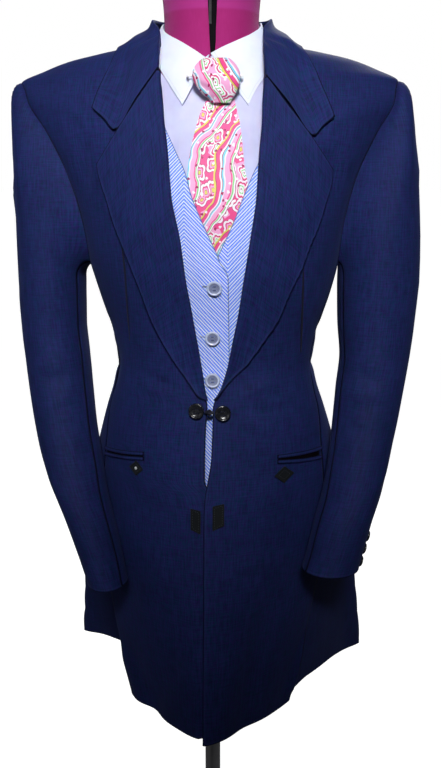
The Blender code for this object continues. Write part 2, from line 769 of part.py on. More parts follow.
def add_coat_side(side):
    sign = side_sign(side)
    columns = []
    seam_top = side_seam(ARMHOLE_LOW_Z)
    back_top = back_seam(BACK_SEAM_TOP_Z)
    strip = EDGE_STRIP / 6
    for share in (0.0, strip, 1 / 6, 2 / 6, 3 / 6, 4 / 6, 5 / 6, 1.0 - strip, 1.0):
        top_turn = across(seam_top, back_top, share)
        top_z = armhole_low(top_turn, side) - SEAM_GAP
        shift = top_turn - across(side_seam(top_z), back_seam(top_z), share)
        column = []
        for height in LOW_HEIGHTS + rows_to_armhole(top_z / MM):
            z = height * MM
            turn = across(side_seam(z), back_seam(z), share)
            turn += shift * max((z - VENT_TOP_Z) / (top_z - VENT_TOP_Z), 0.0) ** 3
            point = coat_point(sign * turn, skirt_height(height, turn, side))
            fall = min(max((VENT_TOP_Z - z) / (VENT_TOP_Z - HEM_Z), 0.0), 1.0) ** VENT_FALL_POWER
            set_back, set_in = VENT_SETBACK[side]
            vent = (1 - share) ** VENT_SPREAD_POWER * fall
            column.append(point + Vector((-sign * set_in * vent, set_back * vent, 0.0)))
        columns.append(column)
    grid = []
    for points in zip(*columns):
        row = list(points)
        row[0] = row[0] + (row[1] - row[0]).normalized() * SEAM_GAP / 2
        row[-1] = row[-1] + (row[-2] - row[-1]).normalized() * SEAM_GAP / 2
        grid.append(row)
    return add_sheet(f"coat_side_{side}", grid, COAT_WALL, materials["coat_cloth"])


def add_coat_back(side):
    sign = side_sign(side)
    grid = []
    for height in LOW_HEIGHTS + rows_to_armhole(BACK_SEAM_TOP_Z / MM)[:-1] + BACK_HEIGHTS:
        z = height * MM
        if z >= ARMHOLE_HIGH_Z:
            outer = SHOULDER_TURN
        elif z >= BACK_SEAM_TOP_Z:
            outer = SHOULDER_TURN + ARMHOLE_BACK_REACH * armhole_reach(z)
        else:
            outer = back_seam(z)

        def point_at(turn):
            return coat_point(sign * turn, skirt_height(height, turn, side))

        row = panel_row(point_at, outer, 180.0, 7)
        if z == ARMHOLE_HIGH_Z:
            row[0] = row[0] + Vector((0.0, (SHOULDER_TIP_GAP - SEAM_GAP) / 2, 0.0))
        grid.append(row)
    return add_sheet(f"coat_back_{side}", grid, COAT_WALL, materials["coat_cloth"])


# Sleeves

def sleeve_ring_point(side, around, z):
    """Point of a sleeve section. Around is in degrees from the front, 90 on the outer side."""
    inner, outer, middle_y, half_depth = [value * MM for value in row_at(SLEEVES[side], z / MM)]
    angle = math.radians(around)
    x = (inner + outer) / 2 + (outer - inner) / 2 * math.sin(angle)
    y = middle_y - half_depth * math.cos(angle)
    return Vector((side_sign(side) * x, y, z))


def armhole_point(side, around):
    """Point of the armhole seam. Around runs as on the sleeve, 90 at the shoulder."""
    angle = math.radians(around)
    middle = (ARMHOLE_LOW_Z + ARMHOLE_HIGH_Z) / 2
    half = (ARMHOLE_HIGH_Z - ARMHOLE_LOW_Z) / 2
    rise, ahead = math.sin(angle), math.cos(angle)
    size = (abs(rise) ** 3 + abs(ahead) ** 3) ** (1 / 3)
    z = middle + half * rise / size
    reach = ARMHOLE_FRONT_REACH[side] if ahead > 0 else ARMHOLE_BACK_REACH
    turn = SHOULDER_TURN - reach * ahead / size
    return coat_point(side_sign(side) * turn, z)


def sleeve_head_point(side, around, out, down):
    """Point of the sleeve head, from the armhole seam to the first whole section of the sleeve."""
    sign = side_sign(side)
    top_z = SLEEVES[side][0][0] * MM
    seam = armhole_point(side, around) + Vector((sign * ARMHOLE_GAP, 0.0, 0.0))
    ring = sleeve_ring_point(side, around, top_z)
    upward = max(math.sin(math.radians(around)), 0.0)
    turn_depth = across(HEAD_TURN_SIDE, HEAD_TURN_TOP, upward ** 1.5)
    low = turn_depth + (1 - turn_depth) * down
    fallen = turn_depth * (1 - math.cos(out * math.pi / 2)) if down == 0.0 else low
    reach = math.sin(out * math.pi / 2)
    target_x = ring.x + sign * SLEEVE_HEAD_OUT[side] * (1 - fallen) ** 2 * upward
    return Vector((across(seam.x, target_x, reach), across(seam.y, ring.y, reach),
                   across(seam.z, ring.z, fallen)))


def sleeve_grid(side, start, end, columns):
    top_z = SLEEVES[side][0][0] * MM
    cuff_z = SLEEVES[side][-1][0] * MM
    grid = []
    for out, down in SLEEVE_HEAD_STEPS:
        grid.append(panel_row(lambda around: sleeve_head_point(side, around, out, down), start, end, columns,
                              HEAD_SEAM_GAP))
    for z in spread(top_z, cuff_z, SLEEVE_ROWS):
        grid.append(panel_row(lambda around: sleeve_ring_point(side, around, z), start, end, columns))
    return grid


def add_sleeve(side):
    def centre(point):
        if point.z < SLEEVES[side][0][0] * MM:
            inner, outer, middle_y, _ = row_at(SLEEVES[side], point.z / MM)
            return Vector((side_sign(side) * (inner + outer) / 2 * MM, middle_y * MM, point.z))
        return Vector((side_sign(side) * 0.190, 0.0, point.z - 0.04))

    upper = sleeve_grid(side, FOREARM_SEAM, HINDARM_SEAM, 10)
    under = sleeve_grid(side, HINDARM_SEAM, FOREARM_SEAM + 360.0, 7)
    add_sheet(f"sleeve_upper_{side}", upper, COAT_WALL, materials["coat_cloth"], centre)
    add_sheet(f"sleeve_under_{side}", under, COAT_WALL, materials["coat_cloth"], centre)


def button_profile(radius, thickness):
    """Half section of a rimmed button, from the top of its axis down its outer side."""
    return [(0.0, thickness * 0.72), (radius * 0.62, thickness * 0.72), (radius * 0.80, thickness),
            (radius, thickness * 0.62), (radius * 0.86, 0.0), (0.0, 0.0)]


def add_cuff_buttons(side):
    for number, height in enumerate(CUFF_BUTTON_HEIGHTS[side], start=1):
        z = height * MM

        def surface(around, level):
            return sleeve_ring_point(side, around, level)

        facing = facing_of(surface, CUFF_BUTTON_AROUND, z, 2.0) * side_sign(side)
        place = surface(CUFF_BUTTON_AROUND, z) + facing * CUFF_BUTTON_LIFT
        add_turned(f"cuff_button_{side}_{number}", button_profile(CUFF_BUTTON_RADIUS, 3.2 * MM), place,
                   facing, materials["black_button"], 10)


# Lapels and coat collar

def top_line(side, share):
    """Point in x and z of the lapel's top line, from the gorge over the notch to the tip."""
    gorge_x, gorge_z = GORGE_START[side]
    notch_x, notch_z = NOTCH[side]
    tip_x = row_at(LAPEL_EDGES, LAPEL_TIP_Z[side])[0 if side == "left" else 1]
    if share <= NOTCH_SHARE:
        part = share / NOTCH_SHARE
        return across(gorge_x, notch_x, part) * MM, across(gorge_z, notch_z, part) * MM
    part = (share - NOTCH_SHARE) / (1 - NOTCH_SHARE)
    return across(notch_x, tip_x, part) * MM, across(notch_z, LAPEL_TIP_Z[side], part) * MM


def lapel_grid(side):
    low_z = LAPEL_EDGES[0][0] * MM
    gorge_z = GORGE_START[side][1] * MM
    tip_z = LAPEL_TIP_Z[side] * MM
    gorge_x = GORGE_START[side][0] * MM
    tip_x = pair_value(LAPEL_EDGES, tip_z, side)
    grid = []
    for v in LAPEL_RISES:
        inner_z = across(low_z - 4.0 * MM, gorge_z, v)
        outer_z = across(low_z, tip_z, v)
        inner_x = across(pair_value(FRONT_EDGES, inner_z, side), gorge_x, v ** 8)
        outer_x = pair_value(LAPEL_EDGES, outer_z, side)
        row = []
        for w in LAPEL_SHARES:
            top_x, top_z = top_line(side, w)
            bend = v ** 8
            x = across(inner_x, outer_x, w) + (top_x - across(gorge_x, tip_x, w)) * bend
            z = across(inner_z, outer_z, w) + (top_z - across(gorge_z, tip_z, w)) * bend
            roll = (1 - w) ** 2 * LAPEL_ROLL * min(v * 6.0, 1.0)
            lift = COAT_WALL + LAPEL_GAP + roll + 0.9 * MM * w
            row.append(coat_front_point(x, z - GORGE_GAP / 2, lift))
        grid.append(row)
    return grid


def collar_guides(side):
    """Fold, middle and outer edge of half the coat collar, from the centre back to the front."""
    sign = side_sign(side)
    fold, edge = [], []
    for turn, fold_z, edge_z in COLLAR_BACK:
        fold.append(neck_ring(sign * turn, COLLAR_FOLD_RADIUS, fold_z * MM))
        edge.append(off_ring(coat_point, sign * turn, edge_z * MM, COLLAR_LIFT))
    for y, z in COLLAR_FOLD_FRONT:
        fold.append(Vector((pair_value(FRONT_EDGES, z * MM, side), y * MM, z * MM)))
    gorge_x, gorge_z = GORGE_START[side]
    gorge_lift = COAT_WALL + LAPEL_GAP + LAPEL_ROLL
    fold.append(coat_front_point(gorge_x * MM, gorge_z * MM + GORGE_GAP / 2, gorge_lift))
    for x, z in COLLAR_EDGE[side]:
        edge.append(coat_front_point(x * MM, z * MM, COLLAR_LIFT))
    middle = [across(a, b, 0.62) + Vector((0.0, 0.0, 3.0 * MM)) for a, b in zip(fold, edge)]
    notch_x, notch_z = NOTCH[side]
    middle[-1] = coat_front_point(notch_x * MM, notch_z * MM + GORGE_GAP / 2, COLLAR_LIFT + 0.4 * MM)
    near = coat_front_point(notch_x * MM * 0.90, notch_z * MM + 28.0 * MM, COLLAR_LIFT + 1.5 * MM)
    middle[-2] = across(middle[-2], near, 0.75)
    return fold, middle, edge


def add_coat_collar():
    halves = {}
    for side in ("left", "right"):
        curves = [smooth_along(line, 16) for line in collar_guides(side)]
        rows = []
        for fold, middle, edge in zip(*curves):
            row = [fold, across(fold, middle, 0.5), middle, across(middle, edge, 0.5), edge]
            rows.append([held_off(COAT_SECTIONS, point, COLLAR_LIFT + roll)
                         for point, roll in zip(row, COLLAR_ROLL)])
        halves[side] = rows
    grid = halves["left"][::-1] + halves["right"][1:]
    add_sheet("coat_collar", grid, COLLAR_WALL, materials["coat_cloth"])


def add_coat_collar_stand():
    grid = []
    for share in spread(-1.0, 1.0, 17):
        turn = 180.0 - 100.0 * abs(share)
        turn = -turn if share < 0 else turn
        top_z = 1.441 - 0.011 * (1 - math.cos(math.radians(180.0 - abs(turn))))
        top = neck_ring(turn, STAND_RADIUS, top_z)
        low = off_ring(coat_point, turn, NECK_EDGE_Z + 0.8 * MM, -0.8 * MM)
        grid.append([low, across(low, top, 0.5), top])
    add_sheet("coat_collar_stand", grid, STAND_WALL, materials["coat_cloth"])


# Waistcoat, shirt and tie

def form_point(turn, z):
    return on_ring(FORM_SECTIONS, turn, z)


def form_front_base(x, z):
    return on_front(FORM_SECTIONS, x, z)


def waistcoat_lift(side, x):
    """The left front lies over the right one and comes down to its level beside it."""
    if side == "right":
        return WAISTCOAT_LIFT["right"]
    return across(WAISTCOAT_LIFT["left"], WAISTCOAT_LIFT["right"], eased((8.0 * MM - x) / (50.0 * MM)))


def waistcoat_side_turn(z, reach):
    return 92.0 + reach * min(max((z - 1.12) / 0.10, 0.0), 1.0)


def add_waistcoat_front(side):
    sign = side_sign(side)
    grid = []
    for height in WAISTCOAT_HEIGHTS:
        z = height * MM
        if z < V_LOW_Z:
            lap_x = WAISTCOAT_LAP_X if side == "left" else WAISTCOAT_UNDERLAP_X
            edge_x = across(pair_value(V_EDGES, V_LOW_Z, side), lap_x, eased((V_LOW_Z - z) / 0.026))
        else:
            edge_x = pair_value(V_EDGES, z, side)
        turns = [sign * turn_of_x(FORM_SECTIONS, edge_x + sign * step * MM, z) for step in (0.0, 8.0, 17.0)]

        def point_at(turn):
            x = form_point(sign * turn, z).x
            return off_ring(form_point, sign * turn, z, waistcoat_lift(side, x))

        row = panel_row(point_at, turns[2], waistcoat_side_turn(z, -26.0), 6)
        grid.append([point_at(turn) for turn in turns] + row[2:])
    return add_sheet(f"waistcoat_front_{side}", grid, WAISTCOAT_WALL, materials["waistcoat_cloth"])


def add_waistcoat_back():
    grid = []
    for height in WAISTCOAT_HEIGHTS:
        z = height * MM
        outer = waistcoat_side_turn(z, 24.0)

        def point_at(turn):
            signed = turn if turn <= 180.0 else turn - 360.0
            return off_ring(form_point, signed, z, WAISTCOAT_LIFT["right"])

        grid.append(panel_row(point_at, outer, 360.0 - outer, 11))
    return add_sheet("waistcoat_back", grid, WAISTCOAT_WALL, materials["waistcoat_cloth"])


def waistcoat_point(x, z):
    return off_front(form_front_base, x, z, WAISTCOAT_LIFT["left"])


def add_waistcoat_buttons():
    for number, (x, z) in enumerate(WAISTCOAT_BUTTONS, start=1):
        facing = facing_of(form_front_base, x * MM, z * MM, PROBE)
        place = waistcoat_point(x * MM, z * MM) + facing * BUTTON_LIFT
        add_turned(f"waistcoat_button_{number}", button_profile(WAISTCOAT_BUTTON_RADIUS, 3.4 * MM), place,
                   facing, materials["pearl_button"], 14)


def add_shirt_front(side):
    sign = side_sign(side)
    grid = []
    for height in SHIRT_HEIGHTS:
        z = height * MM
        xs = spread(SHIRT_MIDDLE_X + sign * SEAM_GAP / 2, SHIRT_SIDE_X[side], 6)
        grid.append([off_front(form_front_base, x, z, SHIRT_LIFT) for x in xs])
    return add_sheet(f"shirt_front_{side}", grid, SHIRT_WALL, materials["shirt_cloth"])


def neck_ring(turn, radius, z):
    """Point of a round ring about the neck."""
    angle = math.radians(abs(turn))
    sign = -1.0 if turn < 0 else 1.0
    return Vector((body_middle(z) + sign * radius * math.sin(angle), NECK_Y - radius * math.cos(angle), z))


def collar_fold_z(turn):
    """Height of the shirt collar's fold, lowest at the centre front."""
    turn = abs(turn)
    return 1.3835 + 0.048 * min(turn / 100.0, 1.0) ** 0.8 + 0.006 * max(turn - 100.0, 0.0) / 80.0


def add_shirt_collar():
    halves = {}
    for side in ("left", "right"):
        low_line = []
        for x, y, z in LEAF_LOW[side]:
            if y is None:
                low_line.append(off_front(form_front_base, x * MM, z * MM, LEAF_LIFT))
            else:
                low_line.append(Vector((x * MM, y * MM, z * MM)))
        low_line = smooth_along(low_line, 13)
        rows = []
        for share, low in zip(spread(0.0, 1.0, 13), low_line):
            turn = across(LEAF_START_TURN[side], 180.0 * side_sign(side), share)
            fold = neck_ring(turn, LEAF_FOLD_RADIUS, collar_fold_z(turn))
            outward = (fold - body_axis(fold)).normalized() * 1.5 * MM
            upper = across(fold, low, 0.36) + outward
            lower = across(fold, low, 0.70) + outward
            rows.append([fold] + [held_off(FORM_SECTIONS, point, LEAF_LIFT) for point in (upper, lower, low)])
        halves[side] = rows
    grid = halves["left"] + halves["right"][::-1][1:]
    add_sheet("shirt_collar_leaf", grid, LEAF_WALL, materials["shirt_cloth"])
    grid = []
    for turn in spread(6.0, 354.0, 19):
        signed = turn if turn <= 180.0 else turn - 360.0
        top = neck_ring(signed, BAND_RADIUS, collar_fold_z(signed) - 2.5 * MM)
        low_z = 1.3705 + 0.031 * min(abs(signed) / 100.0, 1.0)
        low = off_ring(form_point, signed, low_z, BAND_LIFT)
        grid.append([low, held_off(FORM_SECTIONS, across(low, top, 0.5), BAND_LIFT), top])
    add_sheet("shirt_collar_band", grid, LEAF_WALL, materials["shirt_cloth"])


def add_collar_bar():
    """Thin bar under the knot from one collar leaf to the other, with a square end on each side."""
    left, right = (Vector([value * MM for value in end]) for end in COLLAR_BAR_ENDS)
    along = (right - left).normalized()
    half_end = COLLAR_BAR_END / 2
    profile = [(0.0, half_end), (half_end, half_end), (half_end, -half_end), (COLLAR_BAR_RADIUS, -half_end)]
    length = (right - left).length
    profile += [(COLLAR_BAR_RADIUS, half_end - length), (half_end, half_end - length),
                (half_end, -half_end - length), (0.0, -half_end - length)]
    add_turned("collar_bar", profile, right, along, materials["bright_metal"], 8)


def add_tie():
    grid = []
    for height in spread(TIE_EDGES[0][0], TIE_EDGES[-1][0], 10):
        z = height * MM
        left, right = row_at(TIE_EDGES, height)
        row = []
        for w in spread(0.0, 1.0, 5):
            swell = TIE_SWELL * math.sin(math.pi * w)
            row.append(off_front(form_front_base, across(left, right, w) * MM, z, TIE_LIFT + swell))
        grid.append(row)
    add_sheet("tie_blade", grid, TIE_WALL, materials["tie_silk"])
    rings = []
    for height, left, right, back, depth in KNOT_ROWS:
        middle = (left + right) / 2 * MM
        half = (right - left) / 2 * MM
        ring = []
        for angle in spread(0.0, 2 * math.pi, 13)[:-1]:
            y = (back - depth / 2 * (1 + math.cos(angle))) * MM
            ring.append((middle + half * math.sin(angle), y, height * MM))
        rings.append(ring)
    add_loft("tie_knot", rings, materials["tie_silk"])


# Trim on the coat

def add_patch(name, outline_rows, wall, material):
    grid = [[coat_front_point(x * MM, z * MM, PATCH_GAP + wall) for x, z in row] for row in outline_rows]
    return add_sheet(name, grid, wall, material)


def add_pocket(side):
    (inner_x, outer_x), upper, lower = POCKETS[side]
    for name, (inner_z, outer_z) in (("upper", upper), ("lower", lower)):
        rows = [[(across(inner_x, outer_x, w), across(inner_z, outer_z, w) - drop)
                 for w in spread(0.0, 1.0, 7)] for drop in (0.0, WELT_HEIGHT / MM)]
        add_patch(f"pocket_welt_{name}_{side}", rows, WELT_WALL, materials["coat_cloth"])


def add_diamond(side):
    x, z, half_width, half_height = DIAMONDS[side]
    rows = []
    for a in (-1.0, 0.0, 1.0):
        rows.append([(x + half_width * (a + b) / 2, z + half_height * (a - b) / 2) for b in (-1.0, 0.0, 1.0)])
    add_patch(f"diamond_patch_{side}", rows, TRIM_WALL, materials["black_trim"])


def add_diamond_snap():
    x, z = DIAMOND_SNAP
    facing = facing_of(coat_front_base, x * MM, z * MM, PROBE)
    place = coat_front_point(x * MM, z * MM, PATCH_GAP + TRIM_WALL + LAY_GAP)
    profile = [(0.0, 1.6 * MM), (1.3 * MM, 1.3 * MM), (2.0 * MM, 0.4 * MM), (2.0 * MM, 0.0), (0.0, 0.0)]
    add_turned("diamond_snap", profile, place, facing, materials["bright_metal"], 10)


def add_edge_patch(side):
    x_low, x_high, top_a, top_b, low_a, low_b = EDGE_PATCHES[side]
    rows = [[(across(x_low, x_high, w), across(across(top_a, low_a, share), across(top_b, low_b, share), w))
             for w in (0.0, 0.5, 1.0)] for share in (0.0, 0.5, 1.0)]
    add_patch(f"edge_patch_{side}", rows, TRIM_WALL, materials["black_trim"])


def add_link():
    for side, (x, z) in LINK_BUTTONS.items():
        facing = facing_of(coat_front_base, x * MM, z * MM, PROBE)
        place = coat_front_point(x * MM, z * MM, BUTTON_LIFT)
        add_turned(f"link_button_{side}", button_profile(LINK_BUTTON_RADIUS, 4.2 * MM), place, facing,
                   materials["black_button"], 14)
    (left_x, left_z), (right_x, right_z) = LINK_BUTTONS["left"], LINK_BUTTONS["right"]
    middle_x, middle_z = (left_x + right_x) / 2, (left_z + right_z) / 2
    length = right_x - left_x - 2 * LINK_BUTTON_RADIUS / MM - 1.0
    middle = coat_front_point(middle_x * MM, middle_z * MM, BUTTON_LIFT + LINK_BAR_RADIUS)
    along = Vector((right_x - left_x, 0.0, right_z - left_z)).normalized()
    half = length / 2 * MM
    profile = [(0.0, half), (LINK_BAR_RADIUS * 0.7, half), (LINK_BAR_RADIUS, half - 0.5 * MM),
               (LINK_BAR_RADIUS, 0.5 * MM - half), (LINK_BAR_RADIUS * 0.7, -half), (0.0, -half)]
    add_turned("link_bar", profile, middle, along, materials["black_button"], 10)


# Form and stand

def add_form():
    rings = []
    for height, inset in FORM_ROWS:
        z = height * MM
        rings.append([on_ring(FORM_SECTIONS, turn, z, inset * MM) for turn in spread(-180.0, 180.0, 25)[:-1]])
    add_loft("form_torso", rings, materials["form_cloth"])
    grid = []
    for height, half_width in NECK_SLOT:
        grid.append([off_front(form_front_base, (NECK_SLOT_X + half_width * w) * MM, height * MM,
                               SLOT_WALL + LAY_GAP) for w in (-1.0, 0.0, 1.0)])
    add_sheet("form_neck_slot", grid, SLOT_WALL, materials["black_trim"])


def add_stand():
    base = [(0.0, BASE_HEIGHT), (BASE_RADIUS - 12.0 * MM, BASE_HEIGHT - 3.0 * MM),
            (BASE_RADIUS, BASE_HEIGHT - 8.0 * MM), (BASE_RADIUS, 0.0), (0.0, 0.0)]
    add_turned("stand_base", base, (0, 0, 0), (0, 0, 1), materials["stand_metal"], 32)
    pole_low = BASE_HEIGHT + LAY_GAP
    socket_low = FORM_ROWS[0][0] * MM - SOCKET_HEIGHT
    pole = [(0.0, socket_low), (POLE_RADIUS, socket_low), (POLE_RADIUS, pole_low + 30.0 * MM),
            (POLE_RADIUS + 12.0 * MM, pole_low + 12.0 * MM), (POLE_RADIUS + 14.0 * MM, pole_low),
            (0.0, pole_low)]
    add_turned("stand_pole", pole, (0, 0, 0), (0, 0, 1), materials["stand_metal"], 14)
    bottom = socket_low + LAY_GAP
    top = FORM_ROWS[0][0] * MM - LAY_GAP
    flange = SOCKET_RADIUS + 12.0 * MM
    socket = [(0.0, top), (flange, top), (flange, top - 5.0 * MM), (SOCKET_RADIUS, top - 9.0 * MM),
              (SOCKET_RADIUS, bottom), (0.0, bottom)]
    add_turned("stand_socket", socket, (0, 0, 0), (0, 0, 1), materials["stand_metal"], 18)


clear_scene()
parts = bpy.data.collections.new("day_suit")
bpy.context.scene.collection.children.link(parts)
materials = make_materials()
add_stand()
add_form()
add_shirt_collar()
add_collar_bar()
for side_name in ("left", "right"):
    add_shirt_front(side_name)
    add_waistcoat_front(side_name)
    add_coat_front(side_name)
    add_coat_side(side_name)
    add_coat_back(side_name)
    add_sheet(f"lapel_{side_name}", lapel_grid(side_name), COAT_WALL, materials["coat_cloth"])
    add_sleeve(side_name)
    add_cuff_buttons(side_name)
    add_pocket(side_name)
    add_diamond(side_name)
    add_edge_patch(side_name)
add_waistcoat_back()
add_waistcoat_buttons()
add_coat_collar()
add_coat_collar_stand()
add_tie()
add_link()
add_diamond_snap()
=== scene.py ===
import math

import bpy
import numpy as np
from mathutils import Matrix, Vector, noise


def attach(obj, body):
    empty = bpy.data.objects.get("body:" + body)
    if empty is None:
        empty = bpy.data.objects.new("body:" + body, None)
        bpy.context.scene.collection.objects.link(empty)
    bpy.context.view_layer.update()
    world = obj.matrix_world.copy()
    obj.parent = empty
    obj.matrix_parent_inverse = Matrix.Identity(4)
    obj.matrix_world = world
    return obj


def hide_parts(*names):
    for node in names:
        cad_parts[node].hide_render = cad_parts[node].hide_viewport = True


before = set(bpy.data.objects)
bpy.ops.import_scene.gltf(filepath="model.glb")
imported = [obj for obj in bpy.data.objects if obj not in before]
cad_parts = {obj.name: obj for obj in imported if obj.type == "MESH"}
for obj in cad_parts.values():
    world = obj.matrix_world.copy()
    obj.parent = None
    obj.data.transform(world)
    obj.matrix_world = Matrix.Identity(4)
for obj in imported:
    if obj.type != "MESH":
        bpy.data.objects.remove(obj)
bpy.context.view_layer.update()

mm = 0.001
probe = 1.0 * mm  # step used to measure which way a surface faces
sides = ("left", "right")

# Curves and body sections


def rowAt(rows, key):
    # Every column after the first, read at one value of the first by a cubic that doesn't overshoot.
    ordered = rows if rows[0][0] < rows[-1][0] else rows[::-1]
    keys = [row[0] for row in ordered]
    key = min(max(key, keys[0]), keys[-1])
    low = max(i for i in range(len(keys) - 1) if keys[i] <= key)
    span = keys[low + 1] - keys[low]
    part = (key - keys[low]) / span

    def rate(at, column):
        return (ordered[at + 1][column] - ordered[at][column]) / (keys[at + 1] - keys[at])

    def slope(at, column):
        if at in (0, len(keys) - 1):
            return rate(max(at - 1, 0), column)
        before, after = rate(at - 1, column), rate(at, column)
        return 0.0 if before * after <= 0 else 2 * before * after / (before + after)

    values = []
    for column in range(1, len(ordered[0])):
        start, end = ordered[low][column], ordered[low + 1][column]
        rise = (2 * part ** 3 - 3 * part ** 2 + 1) * start + (3 * part ** 2 - 2 * part ** 3) * end
        bend = (part ** 3 - 2 * part ** 2 + part) * slope(low, column) * span
        bend += (part ** 3 - part ** 2) * slope(low + 1, column) * span
        values.append(rise + bend)
    return values


def spread(start, end, count):
    return [start + (end - start) * i / (count - 1) for i in range(count)]


def across(start, end, share):
    return start + (end - start) * share


def clamped(share):
    return min(max(share, 0.0), 1.0)


def eased(share):
    # 0 to 1 with level ends.
    share = clamped(share)
    return share * share * (3 - 2 * share)


def easedArray(share):
    share = np.clip(share, 0.0, 1.0)
    return share * share * (3 - 2 * share)


def smoothAlong(points, count):
    # Points evenly along a smooth curve through the given ones.
    made = []
    last = len(points) - 1
    for i in range(count):
        place = i * last / (count - 1)
        k = min(int(place), last - 1)
        t = place - k
        a, b = points[k], points[k + 1]
        before = points[k - 1] if k > 0 else 2 * a - b
        after = points[k + 2] if k + 2 <= last else 2 * b - a
        made.append(0.5 * ((2 * a) + (b - before) * t + (2 * before - 5 * a + 4 * b - after) * t ** 2
                           + (3 * a - before - 3 * b + after) * t ** 3))
    return made


def pointAlong(points, share):
    # Point at this share of a line through many points.
    place = share * (len(points) - 1)
    low = min(int(place), len(points) - 2)
    return across(points[low], points[low + 1], place - low)


def sideSign(side):
    return -1.0 if side == "left" else 1.0


def pairValue(rows, z, side):
    # x in metres of a left and right pair of edges at this height.
    return rowAt(rows, z / mm)[sides.index(side)] * mm


form = {
    "sections": [
        (780, 132, 6, 92, 102, 1.9, 2.1), (850, 136, 8, 96, 106, 1.9, 2.1), (900, 137, 8, 96, 104, 1.9, 2.1),
        (950, 125, 4, 96, 94, 2, 2.1), (990, 113, 0, 94, 87, 2.1, 2.1), (1020, 109, 0, 93, 83, 2.1, 2.1),
        (1060, 115, 0, 96, 85, 2.15, 2.1), (1100, 127, 0, 103, 89, 2.15, 2.1), (1150, 141, 0, 111, 95, 2.15, 2.1),
        (1200, 151, 0, 112, 99, 2.1, 2.1), (1250, 166, 0, 105, 99, 2, 2.1), (1300, 182, 0, 92, 95, 1.9, 2),
        (1335, 186, 2, 78, 88, 1.8, 1.9), (1352, 174, 4, 68, 84, 1.7, 1.8), (1366, 150, 6, 60, 79, 1.7, 1.8),
        (1378, 114, 6, 55, 72, 1.8, 1.8), (1388, 76, 5, 53, 64, 1.9, 1.9), (1399, 58, 4, 53, 61, 2, 2),
        (1420, 57, 4, 53, 61, 2, 2), (1445, 58, 4, 54, 62, 2, 2), (1470, 60, 4, 56, 64, 2, 2),
        (1500, 60, 4, 56, 64, 2, 2),
    ],
}


coat = {
    "wall": 2.0 * mm,
    "bodyMiddle": [
        (557, 1), (700, 2), (870, 4), (1100, 4), (1200, 1), (1300, -3), (1362, -5), (1390, -3), (1412, 0),
        (1500, 0),
    ],
    "sections": [
        (557, 204, 128, 159, 236, 1.24, 2), (650, 195, 98, 151, 208, 1.38, 2), (720, 188, 72, 145, 186, 1.50, 2),
        (800, 178, 44, 138, 162, 1.65, 2), (870, 166, 26, 131, 142, 1.80, 2), (920, 153, 14, 124, 126, 1.90, 2),
        (960, 141, 6, 118, 112, 2.00, 2.05), (990, 131, 2, 114, 103, 2.10, 2.1),
        (1020, 125, 0, 112, 98, 2.10, 2.1), (1060, 131, 0, 115, 100, 2.15, 2.1),
        (1100, 144, 0, 122, 104, 2.15, 2.1), (1150, 158, 0, 130, 110, 2.15, 2.1),
        (1200, 170, 0, 131, 114, 2.10, 2.1), (1250, 187, 0, 124, 114, 2.00, 2.1),
        (1300, 213, 0, 110, 110, 1.90, 2), (1340, 234, 2, 97, 104, 1.75, 1.9), (1362, 232, 4, 88, 99, 1.65, 1.8),
        (1376, 204, 6, 82, 95, 1.65, 1.8), (1388, 172, 8, 76, 90, 1.65, 1.8), (1396, 136, 10, 71, 86, 1.70, 1.8),
        (1402, 104, 12, 66, 80, 1.80, 1.9), (1412, 74, 12, 62, 76, 2.00, 2), (1440, 66, 10, 60, 72, 2.00, 2),
    ],
    "hemZ": 0.566,
    "hemRuleTop": 800,
    "hem": [
        (0, 568, 560), (25, 565, 561), (40, 571, 566), (50, 575, 580), (62, 574, 578), (78, 568, 567),
        (130, 565, 565), (180, 560, 560),
    ],
    "lowHeights": [566, 612, 660, 710, 760, 812, 850, 872, 892, 922, 954, 986, 1020, 1058, 1096],
    "frontHeights": [1172, 1204, 1238, 1272, 1306, 1334, 1352, 1362, 1371, 1379, 1386, 1391, 1396, 1403, 1409],
    "backHeights": [1240, 1275, 1308, 1335, 1352, 1362, 1375, 1388, 1399, 1408.5],
    "armholeLowZ": 1.140,
    "armholeHighZ": 1.362,
    "shoulderTurn": 90.0,
    "armholeFrontReach": {"left": 25.0, "right": 17.0},
    "armholeBackReach": 23.0,
    "neckEdgeZ": 1.4085,
    "backSeamTopZ": 1.240,
    "sideSeam": [
        (557, 41), (640, 46.5), (708, 51), (800, 57), (870, 60), (918, 64), (975, 73), (1020, 76), (1060, 77.2),
        (1120, 78), (1170, 78),
    ],
    "backSeam": [
        (557, 122), (800, 124), (900, 129), (1000, 134), (1060, 132), (1140, 124), (1200, 117.5), (1240, 113),
    ],
    "ventTopZ": 0.880,
    "ventSetback": {"left": (124.0 * mm, 18.0 * mm), "right": (12.0 * mm, 6.0 * mm)},
    "ventSpreadPower": 2.6,
    "ventFallPower": 1.0,
    "skirtFlutes": [(84.0, 7.0, 7.0), (106.0, -6.0, 8.0), (128.0, 8.0, 9.0), (152.0, -5.0, 9.0)],
    "frontEdges": [
        (557, 10, -1.7), (700, 10, -1.5), (850, 10, -1.2), (872, 8, 0), (892, -0.6, 3.4), (920, -0.4, 7.6),
        (950, 0.4, 8.6), (980, 2.2, 9), (1004, -2.7, 20.3), (1035, -7.7, 29.8), (1060, -12.2, 35.2),
        (1095, -18, 42.5), (1134, -23.8, 48.4), (1176, -29.6, 55.3), (1226, -39.2, 61.4), (1273, -42.9, 64),
        (1312, -47, 66.1), (1351, -51.5, 66.1), (1366, -55.3, 66), (1395, -57, 65.8), (1412, -59, 66),
    ],
    "underlapDrop": 3.4 * mm,
    "underlapStartX": -8.0 * mm,
    "underlapFullX": -3.0 * mm,
    "underlapTopZ": (0.893, 0.920),
    "seamGap": 0.45 * mm,
}

